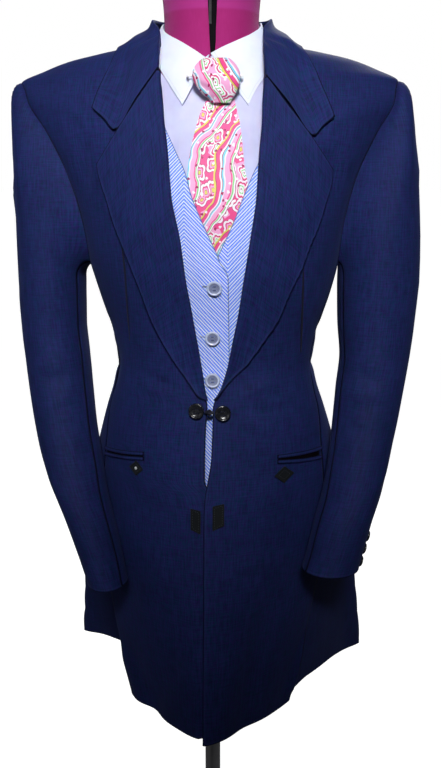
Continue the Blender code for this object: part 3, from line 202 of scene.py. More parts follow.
armholeMiddle = (coat["armholeLowZ"] + coat["armholeHighZ"]) / 2
armholeHalf = (coat["armholeHighZ"] - coat["armholeLowZ"]) / 2
sectionMemo = {}


def section(rows, z):
    # Half width, widest y, front, back and both roundness powers of a body section at this height.
    key = (id(rows), z)
    if key not in sectionMemo:
        *sizes, frontPower, backPower = rowAt(rows, z / mm)
        sectionMemo[key] = (*[size * mm for size in sizes], frontPower, backPower)
    return sectionMemo[key]


def bodyMiddle(z):
    return rowAt(coat["bodyMiddle"], z / mm)[0] * mm


def bodyAxis(point):
    return Vector((bodyMiddle(point.z), 0.02, point.z))


def onRing(rows, turn, z, lift=0.0):
    # Point on a body section. The turn is in degrees from the centre front, negative to the left.
    halfWidth, widestY, front, back, frontPower, backPower = section(rows, z)
    side = -1.0 if turn < 0 else 1.0
    angle = math.radians(min(abs(turn), 180.0))
    power = frontPower if angle <= math.pi / 2 else backPower
    reach = (halfWidth + lift) * max(math.sin(angle), 0.0) ** (2 / power)
    depth = abs(math.cos(angle)) ** (2 / power)
    if angle <= math.pi / 2:
        y = widestY - (front + widestY + lift) * depth
    else:
        y = widestY + (back - widestY + lift) * depth
    return Vector((bodyMiddle(z) + side * reach, y, z))


def turnOfX(rows, x, z):
    # Turn of the point of the front half that has this x.
    halfWidth, _, _, _, power, _ = section(rows, z)
    share = min(abs(x - bodyMiddle(z)) / halfWidth, 1.0)
    turn = math.degrees(math.asin(share ** (power / 2)))
    return -turn if x < bodyMiddle(z) else turn


def onFront(rows, x, z, lift=0.0):
    # Point of the front half at this x and height.
    halfWidth, widestY, front, _, power, _ = section(rows, z)
    share = min(abs(x - bodyMiddle(z)) / (halfWidth + lift), 1.0)
    return Vector((x, widestY - (front + widestY + lift) * (1 - share ** power) ** (1 / power), z))


def facingOf(surface, a, z, step=probe):
    # Outward direction of a surface, given by its point function, at a and z.
    sideways = surface(a + step, z) - surface(a - step, z)
    up = surface(a, z + probe) - surface(a, z - probe)
    return sideways.cross(up).normalized()


def offFront(surface, x, z, lift):
    # Point lifted squarely off the front of a surface that is given by x and height.
    return surface(x, z) + facingOf(surface, x, z) * lift


def offRing(surface, turn, z, lift):
    # Point lifted squarely off a surface that is given by turn and height.
    return surface(turn, z) + facingOf(surface, turn, z, 1.0) * lift


def relativeSize(rows, point):
    # Size of this point's own section against the surface's, 1 on the surface.
    halfWidth, widestY, front, back, frontPower, backPower = section(rows, point.z)
    acrossShare = abs(point.x - bodyMiddle(point.z)) / halfWidth
    if point.y < widestY:
        power, depthShare = frontPower, (widestY - point.y) / (front + widestY)
    else:
        power, depthShare = backPower, (point.y - widestY) / (back - widestY)
    return (acrossShare ** power + depthShare ** power) ** (1 / power)


def heldOff(rows, point, lift):
    # The point, moved out where it is nearer to the surface than the lift.
    for _ in range(5):
        slope = Vector([relativeSize(rows, point + axis) - relativeSize(rows, point - axis)
                        for axis in (Vector((probe, 0, 0)), Vector((0, probe, 0)), Vector((0, 0, probe)))])
        slope = slope / (2 * probe)
        distance = (relativeSize(rows, point) - 1.0) / slope.length
        if distance >= lift:
            break
        point = point + slope.normalized() * (lift - distance)
    return point


def formPoint(turn, z):
    return onRing(form["sections"], turn, z)


def formFrontBase(x, z):
    return onFront(form["sections"], x, z)


def formFrontPoint(x, z, lift):
    # Point off the form's front, with x and z in mm.
    return offFront(formFrontBase, x * mm, z * mm, lift)


# Cloth: fine grids of points with their seams, creases and walls

clothGrid = {
    "borderSteps": (0.0, 1.2 * mm, 2.6 * mm, 4.2 * mm, 6.5 * mm),  # columns beside a border
    "narrow": 60.0 * mm,  # a row shorter than this has its border columns drawn together
    "trialPoints": 40,
    "seamDip": 0.9 * mm,
    "seamReach": 3.4 * mm,
    "turnedRise": 0.30 * mm,
    "turnedReach": 5.0 * mm,
    "edgeRound": 0.55 * mm,
    "edgeRoundShare": 0.35,  # most of the wall that the rounding takes
}
creaseKinds = {  # trough beside the line, share of the line that fades, and whether its far end does
    "soft": (0.25, 0.35, True),
    "start": (0.25, 0.35, False),
    "pressed": (0.0, 0.35, True),
    "dart": (0.0, 0.12, True),
}
flatSizes = {}


def fineRow(pointAt, count, gaps=(0.0, 0.0)):
    # Points from share 0 to 1, closer together beside the borders. A border stands half its gap back.
    trialShares = spread(0.0, 1.0, clothGrid["trialPoints"])
    trial = [pointAt(share) for share in trialShares]
    lengths = np.cumsum([0.0] + [(b - a).length for a, b in zip(trial, trial[1:])])
    total = lengths[-1]
    border = np.array(clothGrid["borderSteps"]) * min(1.0, total / clothGrid["narrow"])
    inner = np.linspace(border[-1], total - border[-1], count)
    wanted = np.concatenate([border[:-1], inner, total - border[:-1][::-1]])
    row = np.array([pointAt(share) for share in np.interp(wanted, lengths, trialShares)])
    for end, near, gap in ((0, 1, gaps[0]), (-1, -2, gaps[1])):
        step = row[near] - row[end]
        row[end] = row[end] + step / max(np.linalg.norm(step), 1e-9) * gap / 2
    return row


def fineHeights(heights, step, fineFrom=None, fineStep=None):
    # The given heights with more between them, at a finer step above fineFrom.
    made = [heights[0]]
    for low, high in zip(heights, heights[1:]):
        wanted = fineStep if fineFrom is not None and low >= fineFrom else step
        count = max(1, math.ceil(abs(high - low) / wanted))
        made += [low + (high - low) * (i + 1) / count for i in range(count)]
    return made


def gridNormals(points, inside):
    # Unit normals of a grid that point away from inside(point).
    normals = np.cross(np.gradient(points, axis=1), np.gradient(points, axis=0))
    normals = normals / np.maximum(np.linalg.norm(normals, axis=2, keepdims=True), 1e-12)
    outward = 0.0
    for i in range(0, points.shape[0], 4):
        for j in range(0, points.shape[1], 3):
            spot = Vector(points[i, j])
            outward += Vector(normals[i, j]).dot(spot - inside(spot))
    return normals if outward > 0 else -normals


def lengthsAlong(points, axis):
    steps = np.linalg.norm(np.diff(points, axis=axis), axis=2)
    return np.insert(np.cumsum(steps, axis=axis), 0, 0.0, axis=axis)


def lineDistance(points, line):
    # Distance of each point of a grid to a line through several points, and its place along it from 0 to 1.
    ends = [np.array(point) for point in line]
    spans = [np.linalg.norm(b - a) for a, b in zip(ends, ends[1:])]
    best = np.full(points.shape[:2], 1e9)
    place = np.zeros(points.shape[:2])
    passed = 0.0
    for a, b, span in zip(ends, ends[1:], spans):
        share = np.clip(((points - a) @ (b - a)) / span ** 2, 0.0, 1.0)
        distance = np.linalg.norm(points - (a + share[..., None] * (b - a)), axis=2)
        nearer = distance < best
        best = np.where(nearer, distance, best)
        place = np.where(nearer, (passed + share * span) / sum(spans), place)
        passed += span
    return best, place


def creaseRelief(points, creases, placeAt):
    # Height added by soft ridges and troughs, given as half width and height in mm, line and kind.
    relief = np.zeros(points.shape[:2])
    for halfWidth, height, line, *kind in creases:
        moat, fadeShare, endFades = creaseKinds[kind[0] if kind else "soft"]
        distance, place = lineDistance(points, smoothAlong([placeAt(*spot) for spot in line], 9))
        fade = easedArray(place / fadeShare)
        if endFades:
            fade = fade * easedArray((1 - place) / fadeShare)
        width = halfWidth * mm
        profile = np.exp(-(distance / width) ** 2)
        profile = profile - moat * np.exp(-((distance - 1.9 * width) / width) ** 2)
        relief += height * mm * profile * fade
    return relief


def borderRelief(fromBorders, kinds):
    # Seams sink into the cloth and turned edges stand up a little.
    relief = np.zeros_like(fromBorders[0])
    for distance, kind in zip(fromBorders, kinds):
        if kind == "seam":
            relief -= clothGrid["seamDip"] * (1 - easedArray(distance / clothGrid["seamReach"])) ** 1.5
        if kind == "turned":
            relief += clothGrid["turnedRise"] * (1 - easedArray(distance / clothGrid["turnedReach"]))
    return relief


def waveRelief(points, waves):
    # Slow unevenness of the cloth, as (size, height) in mm.
    relief = np.zeros(points.shape[:2])
    for size, height in waves:
        for spot in np.ndindex(relief.shape):
            relief[spot] += noise.noise(Vector(points[spot]) / (size * mm)) * height * mm
    return relief


def nearestBorder(fromBorders, kinds, wanted):
    # Distance to the nearest border of this kind, or 1 m where there is none.
    chosen = [distance for distance, kind in zip(fromBorders, kinds) if kind == wanted]
    return np.minimum.reduce(chosen or [np.ones_like(fromBorders[0])])


def select(*pieces):
    bpy.ops.object.select_all(action="DESELECT")
    for piece in pieces:
        piece.select_set(True)
    bpy.context.view_layer.objects.active = pieces[0]


def applyAll(piece):
    select(piece)
    for modifier in list(piece.modifiers):
        bpy.ops.object.modifier_apply(modifier=modifier.name)


def roundEdges(piece, width, segments, angle):
    # Rounds the edges sharper than this angle and applies every modifier of the piece.
    edge = piece.modifiers.new("round", "BEVEL")
    edge.width, edge.segments = width, segments
    edge.limit_method, edge.angle_limit = "ANGLE", math.radians(angle)
    applyAll(piece)


def newPiece(name, mesh, look=None):
    piece = bpy.data.objects.new(name, mesh)
    bpy.context.scene.collection.objects.link(piece)
    if look:
        mesh.materials.append(look)
        mesh.shade_smooth()
    return piece


def ownPiece(piece, slotName, *nodes):
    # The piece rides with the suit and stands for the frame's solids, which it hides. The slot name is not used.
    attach(piece, "root")
    if nodes:
        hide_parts(*nodes)
    return piece


def makeCloth(name, grid, look, wall, kinds, inside=bodyAxis, grain=0.5, creases=(), placeAt=None,
              waves=(), relief=None, grainShift=None, mapping=None, hidden=0.0):
    # A sheet through a grid of points. Kinds tells what the left, right, low and high borders are.
    # Hidden is the part of the low border that lies under its neighbour.
    points = np.array(grid)
    kinds = kinds.split()
    normals = gridNormals(points, inside)
    along = lengthsAlong(points, 1)
    up = lengthsAlong(points, 0)
    fromBorders = [along, along[:, -1:] - along, up, up[-1:, :] - up]
    raised = borderRelief(fromBorders, kinds)
    if creases:
        raised = raised + creaseRelief(points, creases, placeAt)
    if waves:
        raised = raised + waveRelief(points, waves)
    if relief is not None:
        raised = raised + relief(along, up)
    shaped = points + normals * raised[..., None]
    rows, columns = points.shape[:2]
    column = int(round(grain * (columns - 1)))
    u = along - along[:, column:column + 1]
    if grainShift is not None:
        u = u + grainShift[:, None]
    v = np.repeat(up[:, column:column + 1], columns, axis=1)
    if mapping is not None:
        u, v = mapping(points)
    edge = nearestBorder(fromBorders, kinds, "turned")
    fromBorders[2] = up - hidden
    seam = nearestBorder(fromBorders, kinds, "seam")
    index = np.arange(rows * columns).reshape(rows, columns)
    faces = np.stack((index[:-1, :-1], index[:-1, 1:], index[1:, 1:], index[1:, :-1]), axis=-1).reshape(-1, 4)
    i, j = rows // 2, columns // 2
    if np.dot(np.cross(shaped[i, j + 1] - shaped[i, j], shaped[i + 1, j] - shaped[i, j]), normals[i, j]) < 0:
        faces = faces[:, ::-1]
    mesh = bpy.data.meshes.new(name)
    mesh.from_pydata(shaped.reshape(-1, 3).tolist(), [], faces.tolist())
    uv = np.stack([u, v], axis=-1).reshape(-1, 2)[faces.reshape(-1)]
    mesh.uv_layers.new(name="cloth").data.foreach_set("uv", uv.astype(np.float32).reshape(-1))
    for label, values in (("edge", edge), ("seam", seam)):
        attribute = mesh.attributes.new(label, "FLOAT", "POINT")
        attribute.data.foreach_set("value", values.astype(np.float32).reshape(-1))
    piece = newPiece(name, mesh, look)
    solid = piece.modifiers.new("wall", "SOLIDIFY")
    solid.thickness, solid.offset = wall, -1.0
    roundEdges(piece, min(clothGrid["edgeRound"], wall * clothGrid["edgeRoundShare"]), 2, 50.0)
    diagonals = np.cross(points[:-1, 1:] - points[:-1, :-1], points[1:, :-1] - points[:-1, :-1])
    flatSizes[name] = (float(np.ptp(u)), float(np.ptp(v) if mapping is not None else np.max(up)),
                       float(np.sum(np.linalg.norm(diagonals, axis=2))))
    return piece


def declareSheet(piece, withPieces=()):
    # The cut of a piece is its width along the rows, its length along the columns and its area.
    width, length, area = flatSizes[piece.name]
    round(min(area, 0.999 * round(width, 3) * round(length, 3)), 4)
    list(withPieces)
    print("cut", piece.name, round(width, 3), round(length, 3), round(area, 4))


# Shader building blocks


class Wire:
    # The value at a socket. A sum with wires makes math nodes in their own tree.
    def __init__(self, socket):
        self.socket = socket
        self.tree = socket.id_data

    def __add__(self, other):
        return calc("ADD", self, other)

    def __sub__(self, other):
        return calc("SUBTRACT", self, other)

    def __rsub__(self, other):
        return calc("SUBTRACT", other, self)

    def __mul__(self, other):
        return calc("MULTIPLY", self, other)

    def __truediv__(self, other):
        return calc("DIVIDE", self, other)

    def __rtruediv__(self, other):
        return calc("DIVIDE", other, self)

    def __gt__(self, other):
        return calc("GREATER_THAN", self, other)

    def __lt__(self, other):
        return calc("LESS_THAN", self, other)


def treeOf(values):
    return next(value.tree for value in values if isinstance(value, Wire))


def feed(socket, value):
    # Links a wire to a socket, or sets a number or colour on it.
    if isinstance(value, Wire):
        value.tree.links.new(value.socket, socket)
    else:
        socket.default_value = (*value, 1.0) if socket.type == "RGBA" else value


def calc(operation, *values, kind="Math", clamp=False):
    # One math node, in the tree of the first wire among its values.
    node = treeOf(values).nodes.new(f"ShaderNode{kind}")
    node.operation = operation
    if clamp:
        node.use_clamp = True
    for socket, value in zip(node.inputs, values):
        feed(socket, value)
    return Wire(node.outputs[0])


def addNode(kind, outputs, settings=None, tree=None, **inputs):
    # A node with its settings and inputs. Gives a wire, or a list of them, for the outputs it names.
    node = (tree or treeOf(inputs.values())).nodes.new(f"ShaderNode{kind}")
    for label, value in (settings or {}).items():
        setattr(node, label, value)
    for label, value in inputs.items():
        feed(node.inputs[label.replace("_", " ")], value)
    wires = [Wire(node.outputs[label]) for label in outputs.split()]
    return wires[0] if len(wires) == 1 else wires


def useGroup(group, outputs, **inputs):
    return addNode("Group", outputs, {"node_tree": group}, **inputs)


def blend(share, low, high):
    # Mixes two colours.
    return addNode("Mix", "Result", {"data_type": "RGBA"}, Factor=share, A=low, B=high)


def remap(value, fromLow, fromHigh, toLow=0.0, toHigh=1.0):
    # Smooth step from one range to another.
    return addNode("MapRange", "Result", {"interpolation_type": "SMOOTHSTEP"}, Value=value, From_Min=fromLow,
                   From_Max=fromHigh, To_Min=toLow, To_Max=toHigh)


def scaled(vector, size):
    return addNode("VectorMath", "Vector", {"operation": "SCALE"}, Vector=vector, Scale=size)


def contrasted(value, strength):
    # Stretched about its middle and kept from 0 to 1.
    return calc("ADD", (value - 0.5) * strength, 0.5, clamp=True)


def flatPlace(cloth):
    # u and v of the cloth in mm.
    u, v = addNode("SeparateXYZ", "X Y", Vector=cloth)
    return u * 1000.0, v * 1000.0


def nodeGroup(vector, **numbers):
    # Makes a node group of the function under it. Its inputs are a vector and numbers, and its outputs are
    # the wires that the function returns by name.
    def wrap(build):
        group = bpy.data.node_groups.new(build.__name__, "ShaderNodeTree")
        group.interface.new_socket(vector, in_out="INPUT", socket_type="NodeSocketVector")
        for label, value in numbers.items():
            socket = group.interface.new_socket(label.replace("_", " "), in_out="INPUT",
                                                socket_type="NodeSocketFloat")
            socket.default_value = value
        given = group.nodes.new("NodeGroupInput")
        made = build(*[Wire(socket) for socket in list(given.outputs)[:len(numbers) + 1]])
        for label in made:
            group.interface.new_socket(label, in_out="OUTPUT", socket_type="NodeSocketFloat")
        end = group.nodes.new("NodeGroupOutput")
        for label, wire in made.items():
            feed(end.inputs[label], wire)
        return group

    return wrap


@nodeGroup("Cloth", Width_mm=1.0, Length_mm=60.0, Contrast=1.0, Seed=0.0)
def threadStreaks(cloth, width, length, contrast, seed):
    # Long uneven threads along v of the cloth, from 0 to 1.
    u, v = flatPlace(cloth)
    place = addNode("CombineXYZ", "Vector", X=u / width, Y=v / length, Z=seed)
    grain = addNode("TexNoise", "Fac", Vector=place, Scale=1.0, Detail=2.0, Roughness=0.6)
    return {"Streak": contrasted(grain, contrast * 2.6)}


@nodeGroup("Cloth", Pitch_mm=0.8, Lean=0.0)
def wovenThreads(cloth, pitch, lean):
    # Threads of a plain weave, or of a twill where Lean is 1.
    x, y = addNode("SeparateXYZ", "X Y", Vector=cloth)
    scale = 2000.0 * math.pi / pitch
    u, v = x * scale, y * scale
    height = addNode("Mix", "Result", Factor=lean, A=calc("SINE", u) * calc("SINE", v), B=calc("SINE", u + v))
    return {"Height": height * 0.5 + 0.5, "Thread": calc("SINE", u) * 0.5 + 0.5}


@nodeGroup("Cloth", Band_mm=10.5, Stripe_mm=2.3, Slope=1.2)
def herringboneBands(cloth, band, stripe, slope):
    # Slanting stripes that turn at every band and meet in points, from 0 to 1.
    u, v = flatPlace(cloth)
    turns = (v - calc("PINGPONG", u, band) * slope) * (2 * math.pi) / stripe
    wave = calc("SINE", turns) * 0.5 + 0.5
    return {"Stripe": remap(wave, 0.28, 0.72), "Height": wave}


@nodeGroup("Place", Size_mm=30.0, Contrast=1.0)
def softMottle(place, size, contrast):
    # Soft unevenness through the whole piece, from 0 to 1.
    grain = addNode("TexNoise", "Fac", Vector=place, Scale=1000.0 / size, Detail=3.0, Roughness=0.55)
    return {"Mottle": contrasted(grain, contrast * 2.0)}


@nodeGroup("Cloth", Size_mm=30.0, Petals=5.0, Wave=0.2)
def scallopRings(cloth, size, petals, wave):
    # Rings about scattered middles, waved into petals and cut by their neighbours into scallops.
    spot = scaled(cloth, 1000.0 / size)
    tint, middle, distance = addNode("TexVoronoi", "Color Position Distance", {"voronoi_dimensions": "2D"},
                                     Vector=spot, Scale=1.0, Randomness=0.75)
    kind, other = addNode("SeparateColor", "Red Green", Color=tint)
    x, y = addNode("SeparateXYZ", "X Y", Vector=calc("SUBTRACT", spot, middle, kind="VectorMath"))
    turned = calc("ARCTAN2", y, x) * petals + kind * (2 * math.pi)
    dent = calc("ABSOLUTE", calc("SINE", turned)) * wave
    return {"Reach": distance * (1.12 - dent), "Kind": kind, "Other": other}


def startLook(name, roughness, sheen=(), specular=0.5, metallic=0.0, coat=0.0):
    # A material with its node tree. Even values are set on the shader's own sockets.
    look = bpy.data.materials.new(name)
    look.use_nodes = True
    even = {"Roughness": roughness, "Metallic": metallic, "Specular IOR Level": specular, "Coat Weight": coat}
    even.update(zip(("Sheen Weight", "Sheen Roughness", "Sheen Tint"), sheen))
    for label, value in even.items():
        feed(shaderOf(look).inputs[label], value)
    return look, look.node_tree


def shaderOf(look):
    return look.node_tree.nodes["Principled BSDF"]


def finishLook(look, colour, height, depth, strength):
    # The colour over the surface, and its height in mm as bump.
    bump = addNode("Bump", "Normal", Height=height, Distance=depth * mm, Strength=strength)
    feed(shaderOf(look).inputs["Base Color"], colour)
    feed(shaderOf(look).inputs["Normal"], bump)
    return look


def clothPlace(tree):
    return addNode("UVMap", "UV", {"uv_map": "cloth"}, tree)


def objectPlace(tree):
    return addNode("TexCoord", "Object", tree=tree)


def distanceTo(tree, border):
    # Distance in metres to the nearest turned edge or seam.
    return addNode("Attribute", "Fac", {"attribute_name": border}, tree)


def besideBorder(distance, low, high, most):
    # Mask beside a border, whole nearer than low and gone past high, both in mm.
    return remap(distance, low * mm, high * mm, most, 0.0)


coatLook = {
    "deep": (0.0009, 0.0026, 0.0191),
    "middle": (0.0168, 0.0258, 0.1305),
    "violet": (0.0270, 0.0113, 0.1305),
    "teal": (0.0017, 0.0383, 0.1087),
    "slub": (0.0261, 0.0365, 0.1783),
    "wearAndHighlight": (0.0296, 0.0418, 0.1566),
    # Near-black painted shade, laid at the turned edges for their shadowed side walls and in the seams for their
    # grooves.
    "seam": (0.0010, 0.0012, 0.005),
    "warp": (1.7, 24.0, 1.5, 0.0),  # width and length of the streaks in mm, contrast and seed
    "weft": (20.0, 1.7, 1.3, 11.9),
    "speck": (1.9, 3.2, 2.0, 21.7),
    "broad": (4.6, 150.0, 1.1, 7.3),
    "warpShare": 0.58,
    "mixtureShare": 0.42,
    "slubs": (0.50, 1.0, 0.0, 0.22),
    "mottle": (60.0, 0.24, 0.88),  # size in mm, strength and least
    # Painted highlight: a lighter line this far from each turned edge, where the rolled edge catches the light.
    "rimPlace": 2.6 * mm,
    "rimHighlight": (0.2, 1.5, 0.22),
    "edgeShade": (0.3, 1.6, 0.9),
    "seamShade": (0.8, 2.6, 0.9),
    "roughness": (0.14, 0.62),
    "twill": (1.1, 0.35),  # pitch in mm and share of the bump
    "sheen": (0.05, 0.45, (0.35, 0.45, 1.0)),
    "specular": 0.10,
}


def makeCoatLook(name, seed):
    look, tree = startLook(name, 0.72, coatLook["sheen"], specular=coatLook["specular"])
    place = clothPlace(tree)

    def streaks(kind):
        width, length, contrast, shift = coatLook[kind]
        return useGroup(threadStreaks, "Streak", Cloth=place, Width_mm=width, Length_mm=length,
                        Contrast=contrast, Seed=seed + shift)

    thread = streaks("warp") * coatLook["warpShare"] + streaks("weft") * (1 - coatLook["warpShare"])
    ground = blend(thread, coatLook["deep"], coatLook["middle"])
    mixture = blend(streaks("speck"), coatLook["violet"], coatLook["teal"])
    slubbed = blend(remap(streaks("broad"), *coatLook["slubs"]) * thread,
                    blend(coatLook["mixtureShare"], ground, mixture), coatLook["slub"])
    size, strength, least = coatLook["mottle"]
    mottle = useGroup(softMottle, "Mottle", Place=objectPlace(tree), Size_mm=size, Contrast=1.0)
    colour = scaled(slubbed, mottle * strength + least)
    edge = distanceTo(tree, "edge")
    # Painted highlight along the rolled edges.
    offRim = calc("ABSOLUTE", edge - coatLook["rimPlace"])
    colour = blend(besideBorder(offRim, *coatLook["rimHighlight"]), colour, coatLook["wearAndHighlight"])
    # Painted shade at the turned edges and in the seams.
    colour = blend(besideBorder(edge, *coatLook["edgeShade"]), colour, coatLook["seam"])
    colour = blend(besideBorder(distanceTo(tree, "seam"), *coatLook["seamShade"]), colour, coatLook["seam"])
    swing, least = coatLook["roughness"]
    feed(shaderOf(look).inputs["Roughness"], thread * swing + least)
    pitch, share = coatLook["twill"]
    weave = useGroup(wovenThreads, "Height", Cloth=place, Pitch_mm=pitch, Lean=1.0)
    return finishLook(look, colour, weave * share + thread, 0.16, 0.7)


waistcoatLook = {
    "ground": (0.070, 0.205, 1.0),
    "stripe": (0.83, 0.92, 1.0),
    "rim": (0.035, 0.065, 0.30),
    "rimShade": (0.3, 1.5, 0.8),
    "band": 50.0,
    "stripeWidth": 4.6,
    "slope": 1.12,
    "checkPitch": 3.1,
    "broken": (1.2, 0.20),  # how far the checks break the stripes, and their least
    "slubs": 0.18,
    "sheen": (0.06, 0.5, (0.7, 0.8, 1.0)),
}


def makeWaistcoatLook():
    look, tree = startLook("waistcoatHerringbone", 0.78, waistcoatLook["sheen"], specular=0.15)
    place = clothPlace(tree)
    stripe, ridge = useGroup(herringboneBands, "Stripe Height", Cloth=place, Band_mm=waistcoatLook["band"],
                             Stripe_mm=waistcoatLook["stripeWidth"], Slope=waistcoatLook["slope"])
    checks = useGroup(wovenThreads, "Height", Cloth=place, Pitch_mm=waistcoatLook["checkPitch"], Lean=0.0)
    fine = useGroup(threadStreaks, "Streak", Cloth=place, Width_mm=0.8, Length_mm=26.0, Contrast=1.0, Seed=3.1)
    weave = useGroup(wovenThreads, "Height", Cloth=place, Pitch_mm=0.7, Lean=0.0)
    swing, least = waistcoatLook["broken"]
    striped = blend(stripe * calc("ADD", checks * swing, least, clamp=True), waistcoatLook["ground"],
                    waistcoatLook["stripe"])
    slubbed = blend(fine * waistcoatLook["slubs"], striped, waistcoatLook["stripe"])
    rim = besideBorder(distanceTo(tree, "edge"), *waistcoatLook["rimShade"])
    return finishLook(look, blend(rim, slubbed, waistcoatLook["rim"]), ridge + weave * 0.5, 0.20, 0.8)


shirtLook = {
    "collar": ((0.78, 0.84, 0.99), (0.71, 0.75, 0.95)),  # white and its shade
    # The front's colours are the collar's cotton darkened: painted shade under the collar leaves.
    "front": ((0.60, 0.62, 0.84), (0.50, 0.50, 0.76)),
    # Dark line colour, for the stitching and for the painted shade right at the turned edges.
    "line": (0.38, 0.37, 0.60),
    "paintedEdgeShade": (0.2, 1.0, 0.55),
    "stitchPlace": 4.2 * mm,
    "stitchLine": (0.25, 0.55, 1.0),
    "stitchShade": 0.25,
    "sheen": (0.10, 0.4, (1.0, 0.97, 1.0)),
}


def makeShirtLook(name, white, shade):
    look, tree = startLook(name, 0.66, shirtLook["sheen"], specular=0.25)
    shaderOf(look).inputs["Subsurface Weight"].default_value = 0.06
    shaderOf(look).inputs["Subsurface Scale"].default_value = 2.0 * mm
    place = clothPlace(tree)
    weave = useGroup(wovenThreads, "Height", Cloth=place, Pitch_mm=0.6, Lean=0.0)
    fine = useGroup(threadStreaks, "Streak", Cloth=place, Width_mm=0.7, Length_mm=18.0, Contrast=0.8, Seed=5.9)
    mottle = useGroup(softMottle, "Mottle", Place=objectPlace(tree), Size_mm=35.0, Contrast=1.1)
    edge = distanceTo(tree, "edge")
    stitched = besideBorder(calc("ABSOLUTE", edge - shirtLook["stitchPlace"]), *shirtLook["stitchLine"])
    # Painted shade right at the turned edge, with the stitched line.
    lined = calc("MAXIMUM", stitched * shirtLook["stitchShade"], besideBorder(edge, *shirtLook["paintedEdgeShade"]))
    colour = blend(lined, blend(mottle, white, shade), shirtLook["line"])
    return finishLook(look, colour, weave * 0.5 + fine - stitched * 2.0, 0.10, 0.7)


tieColours = {
    "wine": (0.36, 0.006, 0.10),
    "white": (0.88, 0.84, 0.90),
    "hot": (0.80, 0.065, 0.27),
    "rose": (0.85, 0.38, 0.66),
    "lime": (0.19, 0.66, 0.22),
    "lemon": (0.72, 0.66, 0.11),
    "sky": (0.17, 0.62, 0.80),
}
tieLook = {
    "ribbonPeriod": 37.0,  # mm across the ribbons
    "ribbonSlant": (920.0, 390.0),  # shares of u and v, in mm per metre
    "sway": (8.0, 120.0),
    "wobble": (34.0, 12.0 * mm),  # fineness and depth of the print's unevenness
    "stretch": (1.25, 0.85, 1.0),
    "leafSize": 17.0,
    "dotSize": 8.0,
    "dots": (0.17, 0.45),  # a dot's reach, and the share of places without one
    "ribbons": [(0.00, "wine"), (0.015, "sky"), (0.055, "white"), (0.09, "rose"), (0.22, "hot"), (0.255, "rose"),
                (0.275, "lime"), (0.31, "white"), (0.35, "wine"), (0.365, "white"), (0.78, "lemon"), (0.83, "wine"),
                (0.845, "hot"), (0.95, "white")],
    "field": (0.365, 0.78),
    "leaves": [(0.00, "lemon"), (0.09, "wine"), (0.115, "rose"), (0.20, "hot"), (0.26, "wine"), (0.285, "white"),
               (0.42, "wine"), (0.45, "hot")],
    "shells": [(0.00, "wine"), (0.05, "white"), (0.15, "lime"), (0.21, "white"), (0.30, "hot"), (0.37, "wine"),
               (0.40, "white"), (0.50, "rose")],
    "sheen": (0.05, 0.3, (1.0, 0.9, 0.97)),
}


def colourSteps(value, steps):
    # Plain steps of colour along a value.
    ramp = value.tree.nodes.new("ShaderNodeValToRGB")
    feed(ramp.inputs["Fac"], value)
    ramp.color_ramp.interpolation = "CONSTANT"
    stops = ramp.color_ramp.elements
    for number, (position, name) in enumerate(steps):
        stop = stops[number] if number < 2 else stops.new(position)
        stop.position = position
        stop.color = (*tieColours[name], 1.0)
    return Wire(ramp.outputs["Color"])


def makeTieLook():
    look, tree = startLook("tieSilk", 0.45, tieLook["sheen"], specular=0.35)
    place = clothPlace(tree)
    fineness, depth = tieLook["wobble"]
    wobble = addNode("TexNoise", "Color", Vector=place, Scale=fineness, Detail=1.5)
    bent = calc("ADD", place, scaled(wobble, depth), kind="VectorMath")
    u, v = addNode("SeparateXYZ", "X Y", Vector=bent)
    reach, length = tieLook["sway"]
    sway = calc("SINE", v * (2000.0 * math.pi / length)) * reach
    byU, byV = tieLook["ribbonSlant"]
    turns = calc("FRACT", (u * byU - v * byV + sway) / tieLook["ribbonPeriod"])
    narrowed = calc("MULTIPLY", bent, tieLook["stretch"], kind="VectorMath")
    largeReach, largeKind = useGroup(scallopRings, "Reach Kind", Cloth=narrowed, Size_mm=tieLook["leafSize"],
                                     Petals=2.0, Wave=0.30)
    smallReach, smallKind, smallOther = useGroup(scallopRings, "Reach Kind Other", Cloth=bent,
                                                 Size_mm=tieLook["dotSize"], Petals=1.5, Wave=0.3)
    picked = blend(largeKind > 0.5, colourSteps(largeReach, tieLook["leaves"]),
                   colourSteps(largeReach, tieLook["shells"]))
    low, high = tieLook["field"]
    printed = blend((turns > low) * (turns < high), colourSteps(turns, tieLook["ribbons"]), picked)
    dotReach, bare = tieLook["dots"]
    dots = blend(smallKind > 0.5, tieColours["white"], tieColours["wine"])
    colour = blend((smallReach < dotReach) * (smallOther > bare), printed, dots)
    weave = useGroup(wovenThreads, "Height", Cloth=place, Pitch_mm=0.55, Lean=1.0)
    return finishLook(look, colour, weave, 0.06, 0.6)


formLook = {
    "cloth": (0.360, 0.0105, 0.150),
    "wearAndHighlight": (0.47, 0.028, 0.24),
    # Painted highlight: the neck is lighter from this height up, for light falling on its top.
    "topHighlight": (0.46, 0.036, 0.27),
    "topHighlightZ": 1.4375,
    "sheen": (0.30, 0.4, (1.0, 0.45, 0.8)),
}


